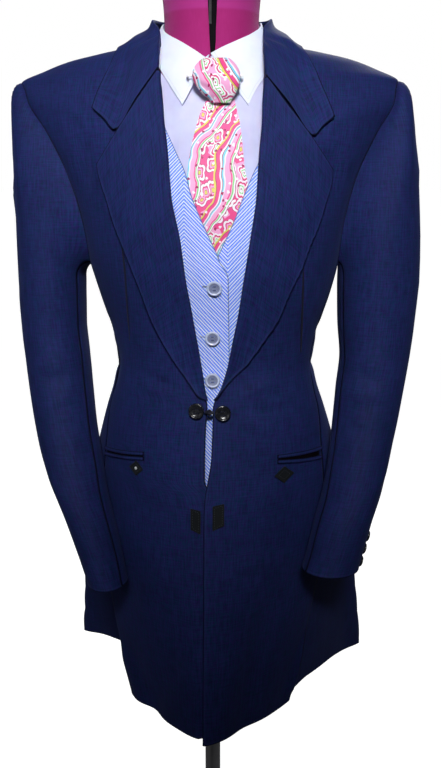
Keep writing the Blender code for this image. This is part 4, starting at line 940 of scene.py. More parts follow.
def makeFormLook():
    look, tree = startLook("formJersey", 0.80, formLook["sheen"], specular=0.3)
    place = clothPlace(tree)
    ribs = useGroup(wovenThreads, "Height", Cloth=place, Pitch_mm=0.9, Lean=0.0)
    mottle = useGroup(softMottle, "Mottle", Place=objectPlace(tree), Size_mm=24.0, Contrast=1.0)
    fine = useGroup(threadStreaks, "Streak", Cloth=place, Width_mm=0.8, Length_mm=12.0, Contrast=0.8, Seed=2.0)
    cloth = blend(mottle * fine * 0.6, formLook["cloth"], formLook["wearAndHighlight"])
    # Painted highlight on the neck's top.
    height = addNode("SeparateXYZ", "Z", Vector=objectPlace(tree))
    topHighlightShare = remap(height, formLook["topHighlightZ"], formLook["topHighlightZ"] + 4.0 * mm, 0.0, 0.7)
    return finishLook(look, blend(topHighlightShare, cloth, formLook["topHighlight"]), ribs, 0.15, 0.8)


trimLook = {
    "cloth": (0.0030, 0.0040, 0.0060),
    "thread": (0.030, 0.040, 0.048),
    "threadShare": 0.16,
    "sheen": (0.03, 0.5, (0.7, 0.85, 0.8)),
}


def makeTrimLook():
    look, tree = startLook("blackTrim", 0.6, trimLook["sheen"], specular=0.22)
    height, thread = useGroup(wovenThreads, "Height Thread", Cloth=clothPlace(tree), Pitch_mm=0.7, Lean=1.0)
    return finishLook(look, blend(thread * trimLook["threadShare"], trimLook["cloth"], trimLook["thread"]), height,
                      0.12, 0.8)


def makeThreadLook(name, colour, roughness=0.6):
    look, tree = startLook(name, roughness, (0.05, 0.4, (1.0, 1.0, 1.0)), specular=0.25)
    mottle = useGroup(softMottle, "Mottle", Place=objectPlace(tree), Size_mm=0.6, Contrast=1.2)
    return finishLook(look, blend(mottle, colour, tuple(value * 0.6 for value in colour)), mottle, 0.10, 0.8)


def makeHardLook(name, colour, wear, roughness, size=4.0, bump=0.03, **even):
    # Polished or painted hard surface with faint smears and fine scratches.
    look, tree = startLook(name, roughness, **even)
    place = objectPlace(tree)
    smears = useGroup(softMottle, "Mottle", Place=place, Size_mm=size, Contrast=1.2)
    grain = useGroup(softMottle, "Mottle", Place=place, Size_mm=size * 0.12, Contrast=1.0)
    feed(shaderOf(look).inputs["Roughness"], smears * 0.16 + (roughness - 0.06))
    return finishLook(look, blend(smears, colour, wear), grain, bump, 0.5)


looks = {
    "coat": makeCoatLook("coatWorsted", 0.0),
    "coatLapel": makeCoatLook("coatWorstedLapel", 4.7),
    "waistcoat": makeWaistcoatLook(),
    "shirt": makeShirtLook("shirtCollarCotton", *shirtLook["collar"]),
    # The front takes the darker colours: painted shade.
    "shirtFront": makeShirtLook("shirtFrontCotton", *shirtLook["front"]),
    "tie": makeTieLook(),
    "form": makeFormLook(),
    "trim": makeTrimLook(),
}
# Thread colours. The dark one also paints the shade in the darts.
for name, colour in {"darkThreadAndShade": (0.010, 0.012, 0.030), "trimThread": (0.040, 0.054, 0.070),
                     "holeThread": (0.060, 0.085, 0.24)}.items():
    looks[name] = makeThreadLook(name, colour)
for name, colour, wear, roughness, settings in (
        ("blackButton", (0.006, 0.007, 0.011), (0.012, 0.013, 0.018), 0.22, {"coat": 0.4}),
        ("pearlButton", (0.62, 0.68, 0.86), (0.44, 0.52, 0.80), 0.24, {"coat": 0.5, "size": 6.0}),
        ("pearlMiddle", (0.27, 0.31, 0.46), (0.19, 0.22, 0.38), 0.24, {"coat": 0.5, "size": 5.0}),
        ("brightMetal", (0.80, 0.80, 0.83), (0.62, 0.62, 0.66), 0.38, {"metallic": 0.6, "size": 3.0, "bump": 0.01}),
        ("standMetal", (0.45, 0.45, 0.47), (0.34, 0.34, 0.36), 0.34, {"metallic": 1.0, "size": 40.0, "bump": 0.05}),
        # Near-black painted shade for openings: the neck slot and the pocket mouths.
        ("shadeInOpening", (0.002, 0.001, 0.002), (0.005, 0.003, 0.006), 0.6, {"size": 6.0, "specular": 0.05}),
        ("slotRod", (0.060, 0.058, 0.062), (0.030, 0.029, 0.032), 0.5, {"size": 9.0, "specular": 0.3})):
    looks[name] = makeHardLook(name, colour, wear, roughness, **settings)
print("materials", len(looks))


# Coat body

skirt = {
    "waveTopZ": 0.93,
    "wavePower": 1.4,
    "ripple": (2.2, 9.0, 20.0, 25.0),  # height in mm, degrees for each degree of turn, start and easing in
}
armholePower = 3


def armholeCurve(share):
    # Outline of the armhole, from 1 at its middle to 0 at its ends.
    return (1 - share ** armholePower) ** (1 / armholePower)


def armholeReach(z):
    return armholeCurve(min(abs(z - armholeMiddle) / armholeHalf, 1.0))


def armholeLow(turn, side):
    # Height of the armhole's lower edge at this turn.
    reach = coat["armholeFrontReach"][side] if turn < coat["shoulderTurn"] else coat["armholeBackReach"]
    share = min(abs(turn - coat["shoulderTurn"]) / reach, 1.0)
    return min(armholeMiddle - armholeHalf * armholeCurve(share), coat["backSeamTopZ"])


def sideSeam(z):
    return rowAt(coat["sideSeam"], z / mm)[0]


def backSeam(z):
    return rowAt(coat["backSeam"], z / mm)[0]


def skirtHeight(height, turn, side):
    # Height in metres of a row, given in mm, that takes the hem's own line as it nears it.
    low = coat["lowHeights"][0]
    hemZ = rowAt(coat["hem"], abs(turn))[sides.index(side)] * mm
    fall = max((coat["hemRuleTop"] - height) / (coat["hemRuleTop"] - low), 0.0)
    return height * mm + (hemZ - low * mm) * fall


def skirtWave(turn, z):
    # Soft flutes of the skirt, growing to the hem.
    fall = clamped((skirt["waveTopZ"] - z) / (skirt["waveTopZ"] - coat["hemZ"])) ** skirt["wavePower"]
    angle = abs(turn)
    rise, pace, start, reach = skirt["ripple"]
    ripple = rise * math.sin(math.radians(angle * pace + start)) * min(angle / reach, 1.0)
    flutes = sum(height * math.exp(-((angle - place) / width) ** 2) for place, height, width in coat["skirtFlutes"])
    return (ripple + flutes) * mm * fall


def coatPoint(turn, z):
    return onRing(coat["sections"], turn, z, skirtWave(turn, z))


def coatFrontBase(x, z):
    return onFront(coat["sections"], x, z, skirtWave(turnOfX(coat["sections"], x, z), z))


def coatFrontPoint(x, z, lift):
    return offFront(coatFrontBase, x, z, lift)


def coatFrontPlace(x, z, lift=0.0):
    # Point off the coat's front, with x and z in mm.
    return coatFrontPoint(x * mm, z * mm, lift)


coatRows = {
    "step": 5.5,
    "fineFrom": 1352.0,
    "fineStep": 1.6,
    "hemSteps": [0.0, 1.2, 2.6, 4.4, 7.0],
    "hemClear": 2.0,
    "armholeRises": 26,
    "frontColumns": 38,
    "sideColumns": 30,
    "backColumns": 36,
    "underlapColumns": (4.0 * mm, 12.0 * mm),
    "waves": [(120.0, 1.0), (42.0, 0.30)],
}

# Creases and darts on the fronts, as places in x and z, with half width and height in mm.
frontCreases = {
    "left": [
        (1.7, -1.6, [(-98.4, 1177), (-95.2, 1141), (-95.2, 1089), (-95.1, 1053)], "dart"),
        (1.8, -0.9, [(-95.1, 1060), (-92.2, 1009), (-86, 950)], "pressed"),
        (13, -3.2, [(-140, 1310), (-146, 1268), (-143, 1225)]),
        (14, 2.2, [(-30.4, 793), (-70.9, 743), (-95, 700)]),
        (16, -3.2, [(-17.9, 674), (-60, 606), (-72, 570)], "start"),
        (17, 3, [(-120.6, 643), (-105, 605), (-92, 569)], "start"),
        (6.5, -1.5, [(-20, 1000), (-52, 1006), (-84, 1020)]), (7, 1.3, [(-22, 962), (-56, 950), (-86, 944)]),
        (5.5, -1.2, [(-24, 988), (-58, 986), (-96, 991)]), (12, -1.8, [(-112, 1045), (-118, 1010), (-120, 975)]),
    ],
    "right": [
        (1.7, -1.5, [(113.7, 1152), (113.9, 1118), (113.6, 1070), (113.4, 1035)], "dart"),
        (1.8, -0.9, [(113.4, 1040), (114.1, 998), (115.9, 955)], "pressed"),
        (13, -3, [(150, 1300), (147, 1256), (144, 1210)]), (5, -1.9, [(38.6, 979), (76, 974), (113, 974)]),
        (5, 1.6, [(38.8, 964), (70, 953), (101, 946)]), (6.5, 1.6, [(34, 992), (60, 1000), (92, 1012)]),
        (3, 1.2, [(104, 936), (122, 937), (138, 939)]), (2.8, -1.2, [(107, 929), (124, 929), (141, 930.5)]),
        (8, 2.2, [(33, 780), (56, 785), (78, 790)]),
        (9, 3, [(148.4, 721), (138.7, 673), (123, 628), (109, 588)], "start"),
        (20, -3, [(92, 760), (70, 690), (54, 620), (48, 566)], "start"),
        (12, -1.8, [(128, 1040), (134, 1008), (134, 972)]),
    ],
}


def gridOf(levels, pointAt, columns, gaps=(0.0, 0.0)):
    # Rows of cloth. PointAt gives the point of a level at a share of its width.
    return [fineRow(lambda share: pointAt(level, share), columns, gaps) for level in levels]


def hemRows():
    low = coat["lowHeights"][0]
    first = [low + step for step in coatRows["hemSteps"]]
    return first + [height for height in fineHeights(coat["lowHeights"], coatRows["step"])
                    if height > first[-1] + coatRows["hemClear"]]


def rowsAbove(heights):
    return fineHeights([coat["lowHeights"][-1]] + heights, coatRows["step"], coatRows["fineFrom"],
                       coatRows["fineStep"])[1:]


def outerTurn(z, onArmhole, reach, seam):
    # Turn of the outer border of a front or back: its seam, the armhole over it, then the shoulder.
    if z >= coat["armholeHighZ"]:
        return coat["shoulderTurn"]
    return coat["shoulderTurn"] + reach * armholeReach(z) if onArmhole else seam(z)


def coatFrontGrid(side):
    sign = sideSign(side)
    meeting = armholeLow(sideSeam(coat["armholeLowZ"]), side)
    topLow, topHigh = coat["underlapTopZ"]
    near, far = coatRows["underlapColumns"]
    levels = []
    for height in hemRows() + rowsAbove([meeting / mm] + coat["frontHeights"]):
        z = height * mm
        edgeX = pairValue(coat["frontEdges"], z, side)
        under = eased((topHigh - z) / (topHigh - topLow)) if side == "left" else 0.0
        turns = [sign * turnOfX(coat["sections"], x, z)
                 for x in (edgeX, across(edgeX + sign * near, coat["underlapFullX"], under),
                           across(edgeX + sign * far, coat["underlapStartX"], under))]
        levels.append((height, outerTurn(z, z > meeting, -coat["armholeFrontReach"][side], sideSeam), under, turns))

    def pointAt(level, share):
        height, outer, under, (first, second, third) = level
        turn = across(first, outer, share)
        drop = coat["underlapDrop"] * under * (1 - eased((turn - second) / max(third - second, 0.01)))
        return coatPoint(sign * turn, skirtHeight(height, turn, side)) + Vector((0.0, drop, 0.0))

    return gridOf(levels, pointAt, coatRows["frontColumns"], (0.0, coat["seamGap"]))


def coatSideGrid(side):
    sign = sideSign(side)
    seamTop = sideSeam(coat["armholeLowZ"])
    backTop = backSeam(coat["backSeamTopZ"])
    setBack, setIn = coat["ventSetback"][side]
    levels = [(height, 0.0) for height in hemRows()]
    levels += [(coat["lowHeights"][-1], (i + 1) / coatRows["armholeRises"]) for i in range(coatRows["armholeRises"])]

    def pointAt(level, share):
        height, rise = level
        topTurn = across(seamTop, backTop, share)
        topZ = armholeLow(topTurn, side) - coat["seamGap"]
        shift = topTurn - across(sideSeam(topZ), backSeam(topZ), share)
        ownHeight = across(height, topZ / mm, rise)
        z = ownHeight * mm
        turn = across(sideSeam(z), backSeam(z), share)
        turn += shift * max((z - coat["ventTopZ"]) / (topZ - coat["ventTopZ"]), 0.0) ** 3
        fall = clamped((coat["ventTopZ"] - z) / (coat["ventTopZ"] - coat["hemZ"]))
        vent = (1 - share) ** coat["ventSpreadPower"] * fall ** coat["ventFallPower"]
        return (coatPoint(sign * turn, skirtHeight(ownHeight, turn, side))
                + Vector((-sign * setIn * vent, setBack * vent, 0.0)))

    return gridOf(levels, pointAt, coatRows["sideColumns"], (coat["seamGap"], coat["seamGap"]))


def coatBackGrid(side):
    levels = []
    for height in hemRows() + rowsAbove(coat["backHeights"]):
        z = height * mm
        levels.append((height, outerTurn(z, z >= coat["backSeamTopZ"], coat["armholeBackReach"], backSeam)))

    def pointAt(level, share):
        height, outer = level
        turn = across(outer, 180.0, share)
        return coatPoint(sideSign(side) * turn, skirtHeight(height, turn, side))

    return gridOf(levels, pointAt, coatRows["backColumns"], (coat["seamGap"], coat["seamGap"]))


# Creases on the sides and back, as places in turn and z.
sideCreases = [
    (8, -1.6, [(66, 1075), (84, 1060), (104, 1052)]), (7, -1.8, [(70, 1010), (92, 1018), (116, 1012)]),
    (18, 2.6, [(86, 880), (90, 760), (88, 640), (90, 560)], "start"),
]
backCreases = [
    (7, -1.8, [(128, 1006), (145, 1018), (168, 1014)]), (9, 1.5, [(132, 1040), (150, 1048), (170, 1040)]),
    (11, -2.4, [(118, 1290), (128, 1255), (134, 1215)]),
    (20, 2.8, [(150, 860), (148, 740), (150, 640), (149, 566)], "start"),
]


def makeCoatBody(side):
    front = coatFrontGrid(side)
    around = {"placeAt": lambda turn, z: coatPoint(sideSign(side) * turn, z * mm)}
    parts = {
        "front": (front, "turned seam turned turned",
                  {"grain": 0.0, "grainShift": np.array([abs(row[0][0]) for row in front]),
                   "creases": frontCreases[side], "placeAt": coatFrontPlace}),
        "side": (coatSideGrid(side), "seam seam turned seam", {"creases": sideCreases, **around}),
        "back": (coatBackGrid(side), "seam seam turned turned", {"grain": 1.0, "creases": backCreases, **around}),
    }
    made = []
    for part, (grid, kinds, settings) in parts.items():
        piece = makeCloth(f"coat{part.capitalize()}_{side}", grid, looks["coat"], coat["wall"], kinds,
                          waves=coatRows["waves"], **settings)
        made.append(ownPiece(piece, "coat_cloth", f"coat_{part}_{side}"))
    return made


# Sleeves

sleeve = {
    "sleeves": {
        "left": [
            (1118, 163, 247.5, 2, 64), (1066, 163, 245, -3, 58), (1028, 159, 241, -10, 54),
            (987, 153.6, 234.5, -22, 50), (936, 145, 222.7, -41, 48), (898, 136.1, 210, -60, 46),
            (864, 126.7, 192.7, -83, 44), (835, 117.6, 177.1, -96, 42), (796, 106.9, 160.7, -106, 39),
            (757, 98.9, 146.4, -114, 37),
        ],
        "right": [
            (1118, 159, 261.5, 2, 64), (1065, 160.5, 256, -3, 58), (1028, 163, 251.5, -10, 54),
            (988, 158.8, 244.6, -23, 50), (947, 154.7, 236, -38, 48), (903, 149, 225.3, -57, 46),
            (866, 142.4, 215.7, -72, 44), (834, 132.9, 203.9, -87, 42), (795, 123.6, 192.8, -97, 39),
            (777, 118.1, 187.9, -102, 38),
        ],
    },
    "headOut": {"left": 0.5 * mm, "right": -22.0 * mm},
    "headTurnTop": 0.075,
    "headTurnSide": 0.75,
    "forearmSeam": -62.0,
    "hindarmSeam": 160.0,
    "armholeGap": 0.35 * mm,
    "tuck": (5.0 * mm, 3.2 * mm),  # the head's turning under the body, across and in
}


def sleeveRow(side, z):
    # Inner and outer x, middle y and half depth of a sleeve's section, in mm.
    return rowAt(sleeve["sleeves"][side], z / mm)


def sleeveRingPoint(side, around, z):
    # Point of a sleeve section. Around is in degrees from the front, 90 on the outer side.
    inner, outer, middleY, halfDepth = [value * mm for value in sleeveRow(side, z)]
    angle = math.radians(around)
    x = (inner + outer) / 2 + (outer - inner) / 2 * math.sin(angle)
    return Vector((sideSign(side) * x, middleY - halfDepth * math.cos(angle), z))


def armholePoint(side, around):
    # Point of the armhole seam. Around runs as on the sleeve, 90 at the shoulder.
    rise, ahead = math.sin(math.radians(around)), math.cos(math.radians(around))
    size = (abs(rise) ** armholePower + abs(ahead) ** armholePower) ** (1 / armholePower)
    reach = coat["armholeFrontReach"][side] if ahead > 0 else coat["armholeBackReach"]
    turn = coat["shoulderTurn"] - reach * ahead / size
    return coatPoint(sideSign(side) * turn, armholeMiddle + armholeHalf * rise / size)


def sleeveHeadPoint(side, around, out, down):
    # Point of the sleeve head, from the armhole seam to the first whole section of the sleeve.
    sign = sideSign(side)
    seam = armholePoint(side, around) + Vector((sign * sleeve["armholeGap"], 0.0, 0.0))
    ring = sleeveRingPoint(side, around, sleeve["sleeves"][side][0][0] * mm)
    upward = max(math.sin(math.radians(around)), 0.0)
    turnDepth = across(sleeve["headTurnSide"], sleeve["headTurnTop"], upward ** 1.5)
    low = turnDepth + (1 - turnDepth) * down
    fallen = turnDepth * (1 - math.cos(out * math.pi / 2)) if down == 0.0 else low
    reach = math.sin(out * math.pi / 2)
    targetX = ring.x + sign * sleeve["headOut"][side] * (1 - fallen) ** 2 * upward
    return Vector((across(seam.x, targetX, reach), across(seam.y, ring.y, reach), across(seam.z, ring.z, fallen)))


sleeveRows = {
    "headOuts": (0.0, 0.03, 0.065, 0.11, 0.17, 0.24, 0.32, 0.41, 0.51, 0.61, 0.71, 0.81, 0.91, 1.0),
    "headDowns": (0.12, 0.24, 0.36, 0.48, 0.60, 0.73, 0.86),
    "step": 4.6 * mm,
    "cuffSteps": (7.0, 4.4, 2.6, 1.2, 0.0),
    "gaps": (0.45 * mm, 0.45 * mm),
    "columns": {"Upper": 34, "Under": 22},
    "headAxis": (0.190, 0.04),  # x of the arm's axis in the sleeve's head, and how far under a point it is
    "waves": [(70.0, 1.0), (28.0, 0.28)],
}

# Creases of the sleeves, as turns about the sleeve and z.
sleeveCreases = {
    "left": [
        (10, 2.2, [(20, 1262), (52, 1236), (88, 1216)]), (9, -1.8, [(8, 1160), (40, 1128), (78, 1106)]),
        (8, -2.2, [(-40, 1012), (-4, 1002), (34, 1010)]), (7, 2, [(-46, 985), (-10, 976), (30, 962)]),
        (7, -1.8, [(-50, 950), (-16, 944), (16, 950)]), (9, 1.5, [(60, 900), (40, 870), (14, 846)]),
        (3.2, -0.8, [(-45, 792), (-20, 797), (2, 802)]), (9, 1.6, [(150, 1010), (176, 1000), (210, 1004)]),
    ],
    "right": [
        (10, 2.4, [(24, 1286), (58, 1262), (92, 1244)]), (10, -1.8, [(4, 1190), (36, 1160), (70, 1142)]),
        (8, -2.2, [(-42, 1020), (-6, 1006), (32, 1004)]), (7, 2, [(-48, 990), (-14, 984), (24, 996)]),
        (7, -1.8, [(-50, 954), (-12, 944), (20, 938)]), (9, 1.6, [(70, 912), (46, 884), (20, 858)]),
        (3.2, -0.8, [(-51, 805), (-20, 806), (12, 805)]), (9, 1.6, [(150, 1000), (178, 1006), (208, 996)]),
    ],
}


def sleeveGrid(side, start, end, columns):
    topZ, cuffZ = (sleeve["sleeves"][side][row][0] * mm for row in (0, -1))
    sideways, inwards = sleeve["tuck"]

    def tucked(step, share):
        seam = sleeveHeadPoint(side, across(start, end, share), *step)
        return (seam - Vector((sideSign(side) * sideways, 0.0, 0.0))
                + (bodyAxis(seam) - seam).normalized() * inwards)

    def onHead(step, share):
        return sleeveHeadPoint(side, across(start, end, share), *step)

    def onArm(z, share):
        return sleeveRingPoint(side, across(start, end, share), z)

    steps = [(out, 0.0) for out in sleeveRows["headOuts"]] + [(1.0, down) for down in sleeveRows["headDowns"]]
    last = cuffZ + sleeveRows["cuffSteps"][0] * mm
    heights = spread(topZ, last, math.ceil((topZ - last) / sleeveRows["step"]))[:-1]
    heights += [cuffZ + step * mm for step in sleeveRows["cuffSteps"]]
    return [row for pointAt, levels in ((tucked, [(0.0, 0.0)]), (onHead, steps), (onArm, heights))
            for row in gridOf(levels, pointAt, columns, sleeveRows["gaps"])]


def makeSleeve(side):
    top = sleeve["sleeves"][side][0][0]

    def centre(point):
        if point.z < top * mm:
            inner, outer, middleY, _ = sleeveRow(side, point.z)
            return Vector((sideSign(side) * (inner + outer) / 2 * mm, middleY * mm, point.z))
        axisX, under = sleeveRows["headAxis"]
        return Vector((sideSign(side) * axisX, 0.0, point.z - under))

    def roundTheArm(points, middle):
        # The threads run down the sleeve, so u is the way round it from its middle line and v the height.
        u = np.zeros(points.shape[:2])
        for spot in np.ndindex(*u.shape):
            x, y, z = points[spot]
            inner, outer, middleY, halfDepth = rowAt(sleeve["sleeves"][side], min(z / mm, top))
            sideways = (sideSign(side) * x / mm - (inner + outer) / 2) / (outer - inner) * 2
            turn = math.degrees(math.atan2(sideways, (middleY - y / mm) / halfDepth))
            turn = (turn - middle + 180.0) % 360.0 - 180.0
            u[spot] = math.radians(turn) * ((outer - inner) / 2 + halfDepth) / 2 * mm
        return u, points[..., 2]

    made = []
    forearm, hindarm = sleeve["forearmSeam"], sleeve["hindarmSeam"]
    for half, start, end in (("Upper", forearm, hindarm), ("Under", hindarm, forearm + 360.0)):
        piece = makeCloth(f"sleeve{half}_{side}", sleeveGrid(side, start, end, sleeveRows["columns"][half]),
                          looks["coat"], coat["wall"], "seam seam seam turned", inside=centre,
                          creases=sleeveCreases[side], waves=sleeveRows["waves"],
                          placeAt=lambda around, z: sleeveRingPoint(side, around, z * mm),
                          mapping=lambda points: roundTheArm(points, (start + end) / 2),
                          hidden=math.hypot(*sleeve["tuck"]))
        made.append(ownPiece(piece, "coat_cloth", f"sleeve_{half.lower()}_{side}"))
    return made


# Lapels and coat collar

lapel = {
    "edges": [
        (993, -9.5, 15), (1003, -15.5, 21.9), (1018, -25.5, 35), (1031, -34.9, 48.2), (1059, -51.6, 67.8),
        (1084, -63.4, 83.8), (1117, -74.8, 97.3), (1147, -86, 111.3), (1170, -95, 119.3), (1191, -103.8, 128.6),
        (1223, -114, 138), (1243, -121.5, 143.4), (1258, -125.2, 144.3), (1264, -125.6, 143.8),
    ],
    "notchShare": 0.66,
    "roll": 5.0 * mm,
    "tipZ": {"left": 1264.0, "right": 1258.0},
    "gorgeStart": {"left": (-55.4, 1365.0), "right": (68.5, 1357.0)},
    "notch": {"left": (-101.5, 1300.5), "right": (119.3, 1294.4)},
    "gorgeGap": 1.0 * mm,
    "gap": 0.6 * mm,
}
lapelRows = {
    "rises": 62,
    "riseShare": 0.92,
    "columns": 26,
    "curl": 7,
    "lowReach": 4.0 * mm,
    "bendPower": 8,
    "rollPace": 6.0,
    "edgeLift": 0.9 * mm,
    "puckers": {"left": 0.25 * mm, "right": 0.9 * mm},
    "puckerLength": 8.5 * mm,
    "puckerReach": 11.0 * mm,
    "puckerFade": (0.06, 0.05),
    "waves": [(60.0, 0.9), (24.0, 0.25)],
}


def topLine(side, share):
    # Point in x and z of the lapel's top line, from the gorge over the notch to the tip.
    gorge, notch = lapel["gorgeStart"][side], lapel["notch"][side]
    tipZ = lapel["tipZ"][side]
    tip = (rowAt(lapel["edges"], tipZ)[sides.index(side)], tipZ)
    if share <= lapel["notchShare"]:
        start, end, part = gorge, notch, share / lapel["notchShare"]
    else:
        start, end, part = notch, tip, (share - lapel["notchShare"]) / (1 - lapel["notchShare"])
    return across(start[0], end[0], part) * mm, across(start[1], end[1], part) * mm


def lapelPlace(side, v, w):
    # x, z and lift of the lapel at a rise v and a share w from the break line to the outer edge.
    lowZ = lapel["edges"][0][0] * mm
    gorgeX, gorgeZ = [value * mm for value in lapel["gorgeStart"][side]]
    tipZ = lapel["tipZ"][side] * mm
    tipX = pairValue(lapel["edges"], tipZ, side)
    innerZ = across(lowZ - lapelRows["lowReach"], gorgeZ, v)
    outerZ = across(lowZ, tipZ, v)
    bend = v ** lapelRows["bendPower"]
    innerX = across(pairValue(coat["frontEdges"], innerZ, side), gorgeX, bend)
    outerX = pairValue(lapel["edges"], outerZ, side)
    topX, topZ = topLine(side, w)
    x = across(innerX, outerX, w) + (topX - across(gorgeX, tipX, w)) * bend
    z = across(innerZ, outerZ, w) + (topZ - across(gorgeZ, tipZ, w)) * bend
    roll = (1 - w) ** 2 * lapel["roll"] * min(v * lapelRows["rollPace"], 1.0)
    return x, z - lapel["gorgeGap"] / 2, coat["wall"] + lapel["gap"] + roll + lapelRows["edgeLift"] * w


def makeLapel(side):
    count = lapelRows["rises"]
    rises = [(i / count) ** lapelRows["riseShare"] for i in range(count)] + [0.992, 1.0]
    grid = []
    for v in rises:
        row = fineRow(lambda share: coatFrontPoint(*lapelPlace(side, v, share)), lapelRows["columns"])
        x, z, lift = lapelPlace(side, v, 0.0)
        curl = []
        for k in range(lapelRows["curl"]):
            angle = math.pi * k / lapelRows["curl"]
            inward = lift / 2 * math.sin(angle)
            curl.append(coatFrontPoint(x - sideSign(side) * inward, z, lift / 2 * (1 - math.cos(angle))))
        grid.append(np.concatenate([np.array(curl), row]))

    def puckered(along, up):
        # Ripples along the outer edge where it was pressed over the canvas.
        near = 1 - easedArray((along[:, -1:] - along) / lapelRows["puckerReach"])
        low, high = lapelRows["puckerFade"]
        middle = easedArray(up / low) * easedArray((up[-1:, :] - up) / high)
        wander = np.array([[noise.noise(Vector((value * 30.0, 3.0, 0.0))) * 3.0 for value in row] for row in up])
        ripples = np.sin(up / lapelRows["puckerLength"] * 2 * math.pi + wander)
        return lapelRows["puckers"][side] * near * middle * ripples

    piece = makeCloth(f"lapelTurned_{side}", grid, looks["coatLapel"], coat["wall"], "free turned turned turned",
                      grain=0.25, waves=lapelRows["waves"], relief=puckered)
    return ownPiece(piece, "coat_cloth", f"lapel_{side}")


def neckRing(turn, radius, z):
    # Point of a round ring about the neck.
    angle = math.radians(abs(turn))
    sign = -1.0 if turn < 0 else 1.0
    return Vector((bodyMiddle(z) + sign * radius * math.sin(angle), shirt["neckY"] - radius * math.cos(angle), z))


collar = {
    "wall": 1.8 * mm,
    "edge": {
        "left": [(-107.0, 1394.0), (-113.4, 1372.6), (-125.3, 1347.0), (-132.3, 1326.0)],
        "right": [(107.0, 1395.0), (118.0, 1378.0), (133.0, 1346.0), (145.9, 1316.0)],
    },
    "back": [(180, 1437, 1396), (150, 1436.5, 1397), (120, 1434.5, 1400), (90, 1432, 1402.2)],
    "foldFront": [(-25.0, 1422.0), (-46.0, 1409.0), (-65.0, 1393.0)],
    "foldRadius": 66.0 * mm,
    "lift": 3.6 * mm,
    "roll": (2.4 * mm, 2.0 * mm, 0.4 * mm, 0.0, 0.0),
    "middle": (0.62, 3.0 * mm),  # share from the fold to the edge, and rise
    "notchLift": 0.4 * mm,
    "beforeNotch": (0.90, 28.0 * mm, 1.5 * mm, 0.75),  # share of x, rise, lift and pull of the next point
    "standRadius": 63.4 * mm,
    "standWall": 1.6 * mm,
}


def collarGuides(side):
    # Fold, middle and outer edge of half the coat collar, from the centre back to the front.
    sign = sideSign(side)
    fold, edge = [], []
    for turn, foldZ, edgeZ in collar["back"]:
        fold.append(neckRing(sign * turn, collar["foldRadius"], foldZ * mm))
        edge.append(offRing(coatPoint, sign * turn, edgeZ * mm, collar["lift"]))
    for y, z in collar["foldFront"]:
        fold.append(Vector((pairValue(coat["frontEdges"], z * mm, side), y * mm, z * mm)))
    gorgeX, gorgeZ = lapel["gorgeStart"][side]
    halfGap = lapel["gorgeGap"] / 2
    fold.append(coatFrontPoint(gorgeX * mm, gorgeZ * mm + halfGap, coat["wall"] + lapel["gap"] + lapel["roll"]))
    edge += [coatFrontPlace(x, z, collar["lift"]) for x, z in collar["edge"][side]]
    share, rise = collar["middle"]
    middle = [across(a, b, share) + Vector((0.0, 0.0, rise)) for a, b in zip(fold, edge)]
    notchX, notchZ = lapel["notch"][side]
    middle[-1] = coatFrontPoint(notchX * mm, notchZ * mm + halfGap, collar["lift"] + collar["notchLift"])
    inset, rise, lift, share = collar["beforeNotch"]
    near = coatFrontPoint(notchX * mm * inset, notchZ * mm + rise, collar["lift"] + lift)
    middle[-2] = across(middle[-2], near, share)
    return fold, middle, edge


collarRows = {
    "along": 64,
    "columns": 18,
    "curlRadius": 1.7 * mm,
    "curlSteps": 5,
    "hang": (2.0 * mm, 13.0 * mm),  # at the back and at the front
    "hangStart": (0.35, 0.25),
    "standAlong": 60,
    "standTurn": 100.0,
    "standTop": (1.432, 0.005),
    "standRows": 9,
    "waves": [(50.0, 0.7)],
    "standWaves": [(50.0, 0.4)],
}


def curled(start, inward, radius, angles):
    # Points of a fold's curl, under and inside its start.
    return [start + inward * radius * (1 - math.cos(angle)) + Vector((0.0, 0.0, radius * math.sin(angle)))
            for angle in angles]


def makeCoatCollar():
    halves = {}
    steps = collarRows["curlSteps"]
    for side in sides:
        rows = []
        curves = [smoothAlong(line, collarRows["along"]) for line in collarGuides(side)]
        for number, (fold, middle, edge) in enumerate(zip(*curves)):
            control = [fold, across(fold, middle, 0.5), middle, across(middle, edge, 0.5), edge]
            trial = smoothAlong([heldOff(coat["sections"], point, collar["lift"] + roll)
                                 for point, roll in zip(control, collar["roll"])], 40)
            row = [Vector(point) for point in fineRow(lambda share: pointAlong(trial, share), collarRows["columns"])]
            inward = (bodyAxis(row[0]) - row[0]).normalized()
            start, reach = collarRows["hangStart"]
            hang = across(*collarRows["hang"], eased((number / (collarRows["along"] - 1) - start) / reach))
            curl = curled(row[0], inward, collarRows["curlRadius"], [math.pi * (1 - k / steps) for k in range(steps)])
            low = curl[0] - Vector((0.0, 0.0, hang))
            rows.append([low, across(low, curl[0], 0.5)] + curl + row)
        halves[side] = rows
    fall = makeCloth("coatCollarFall", halves["left"][::-1] + halves["right"][1:], looks["coatLapel"],
                     collar["wall"], "free turned turned turned", grain=1.0, waves=collarRows["waves"])
    ownPiece(fall, "coat_cloth", "coat_collar")
    grid = []
    for share in spread(-1.0, 1.0, collarRows["standAlong"]):
        turn = 180.0 - collarRows["standTurn"] * abs(share)
        turn = -turn if share < 0 else turn
        highest, dip = collarRows["standTop"]
        topZ = highest - dip * (1 - math.cos(math.radians(180.0 - abs(turn))))
        top = neckRing(turn, collar["standRadius"], topZ)
        low = offRing(coatPoint, turn, coat["neckEdgeZ"] + 0.8 * mm, -0.8 * mm)
        grid.append([across(low, top, part) for part in spread(0.0, 1.0, collarRows["standRows"])])
    stand = makeCloth("coatCollarStand", grid, looks["coat"], collar["standWall"], "seam turned turned turned",
                      waves=collarRows["standWaves"])
    return fall, ownPiece(stand, "coat_cloth", "coat_collar_stand")


# Waistcoat

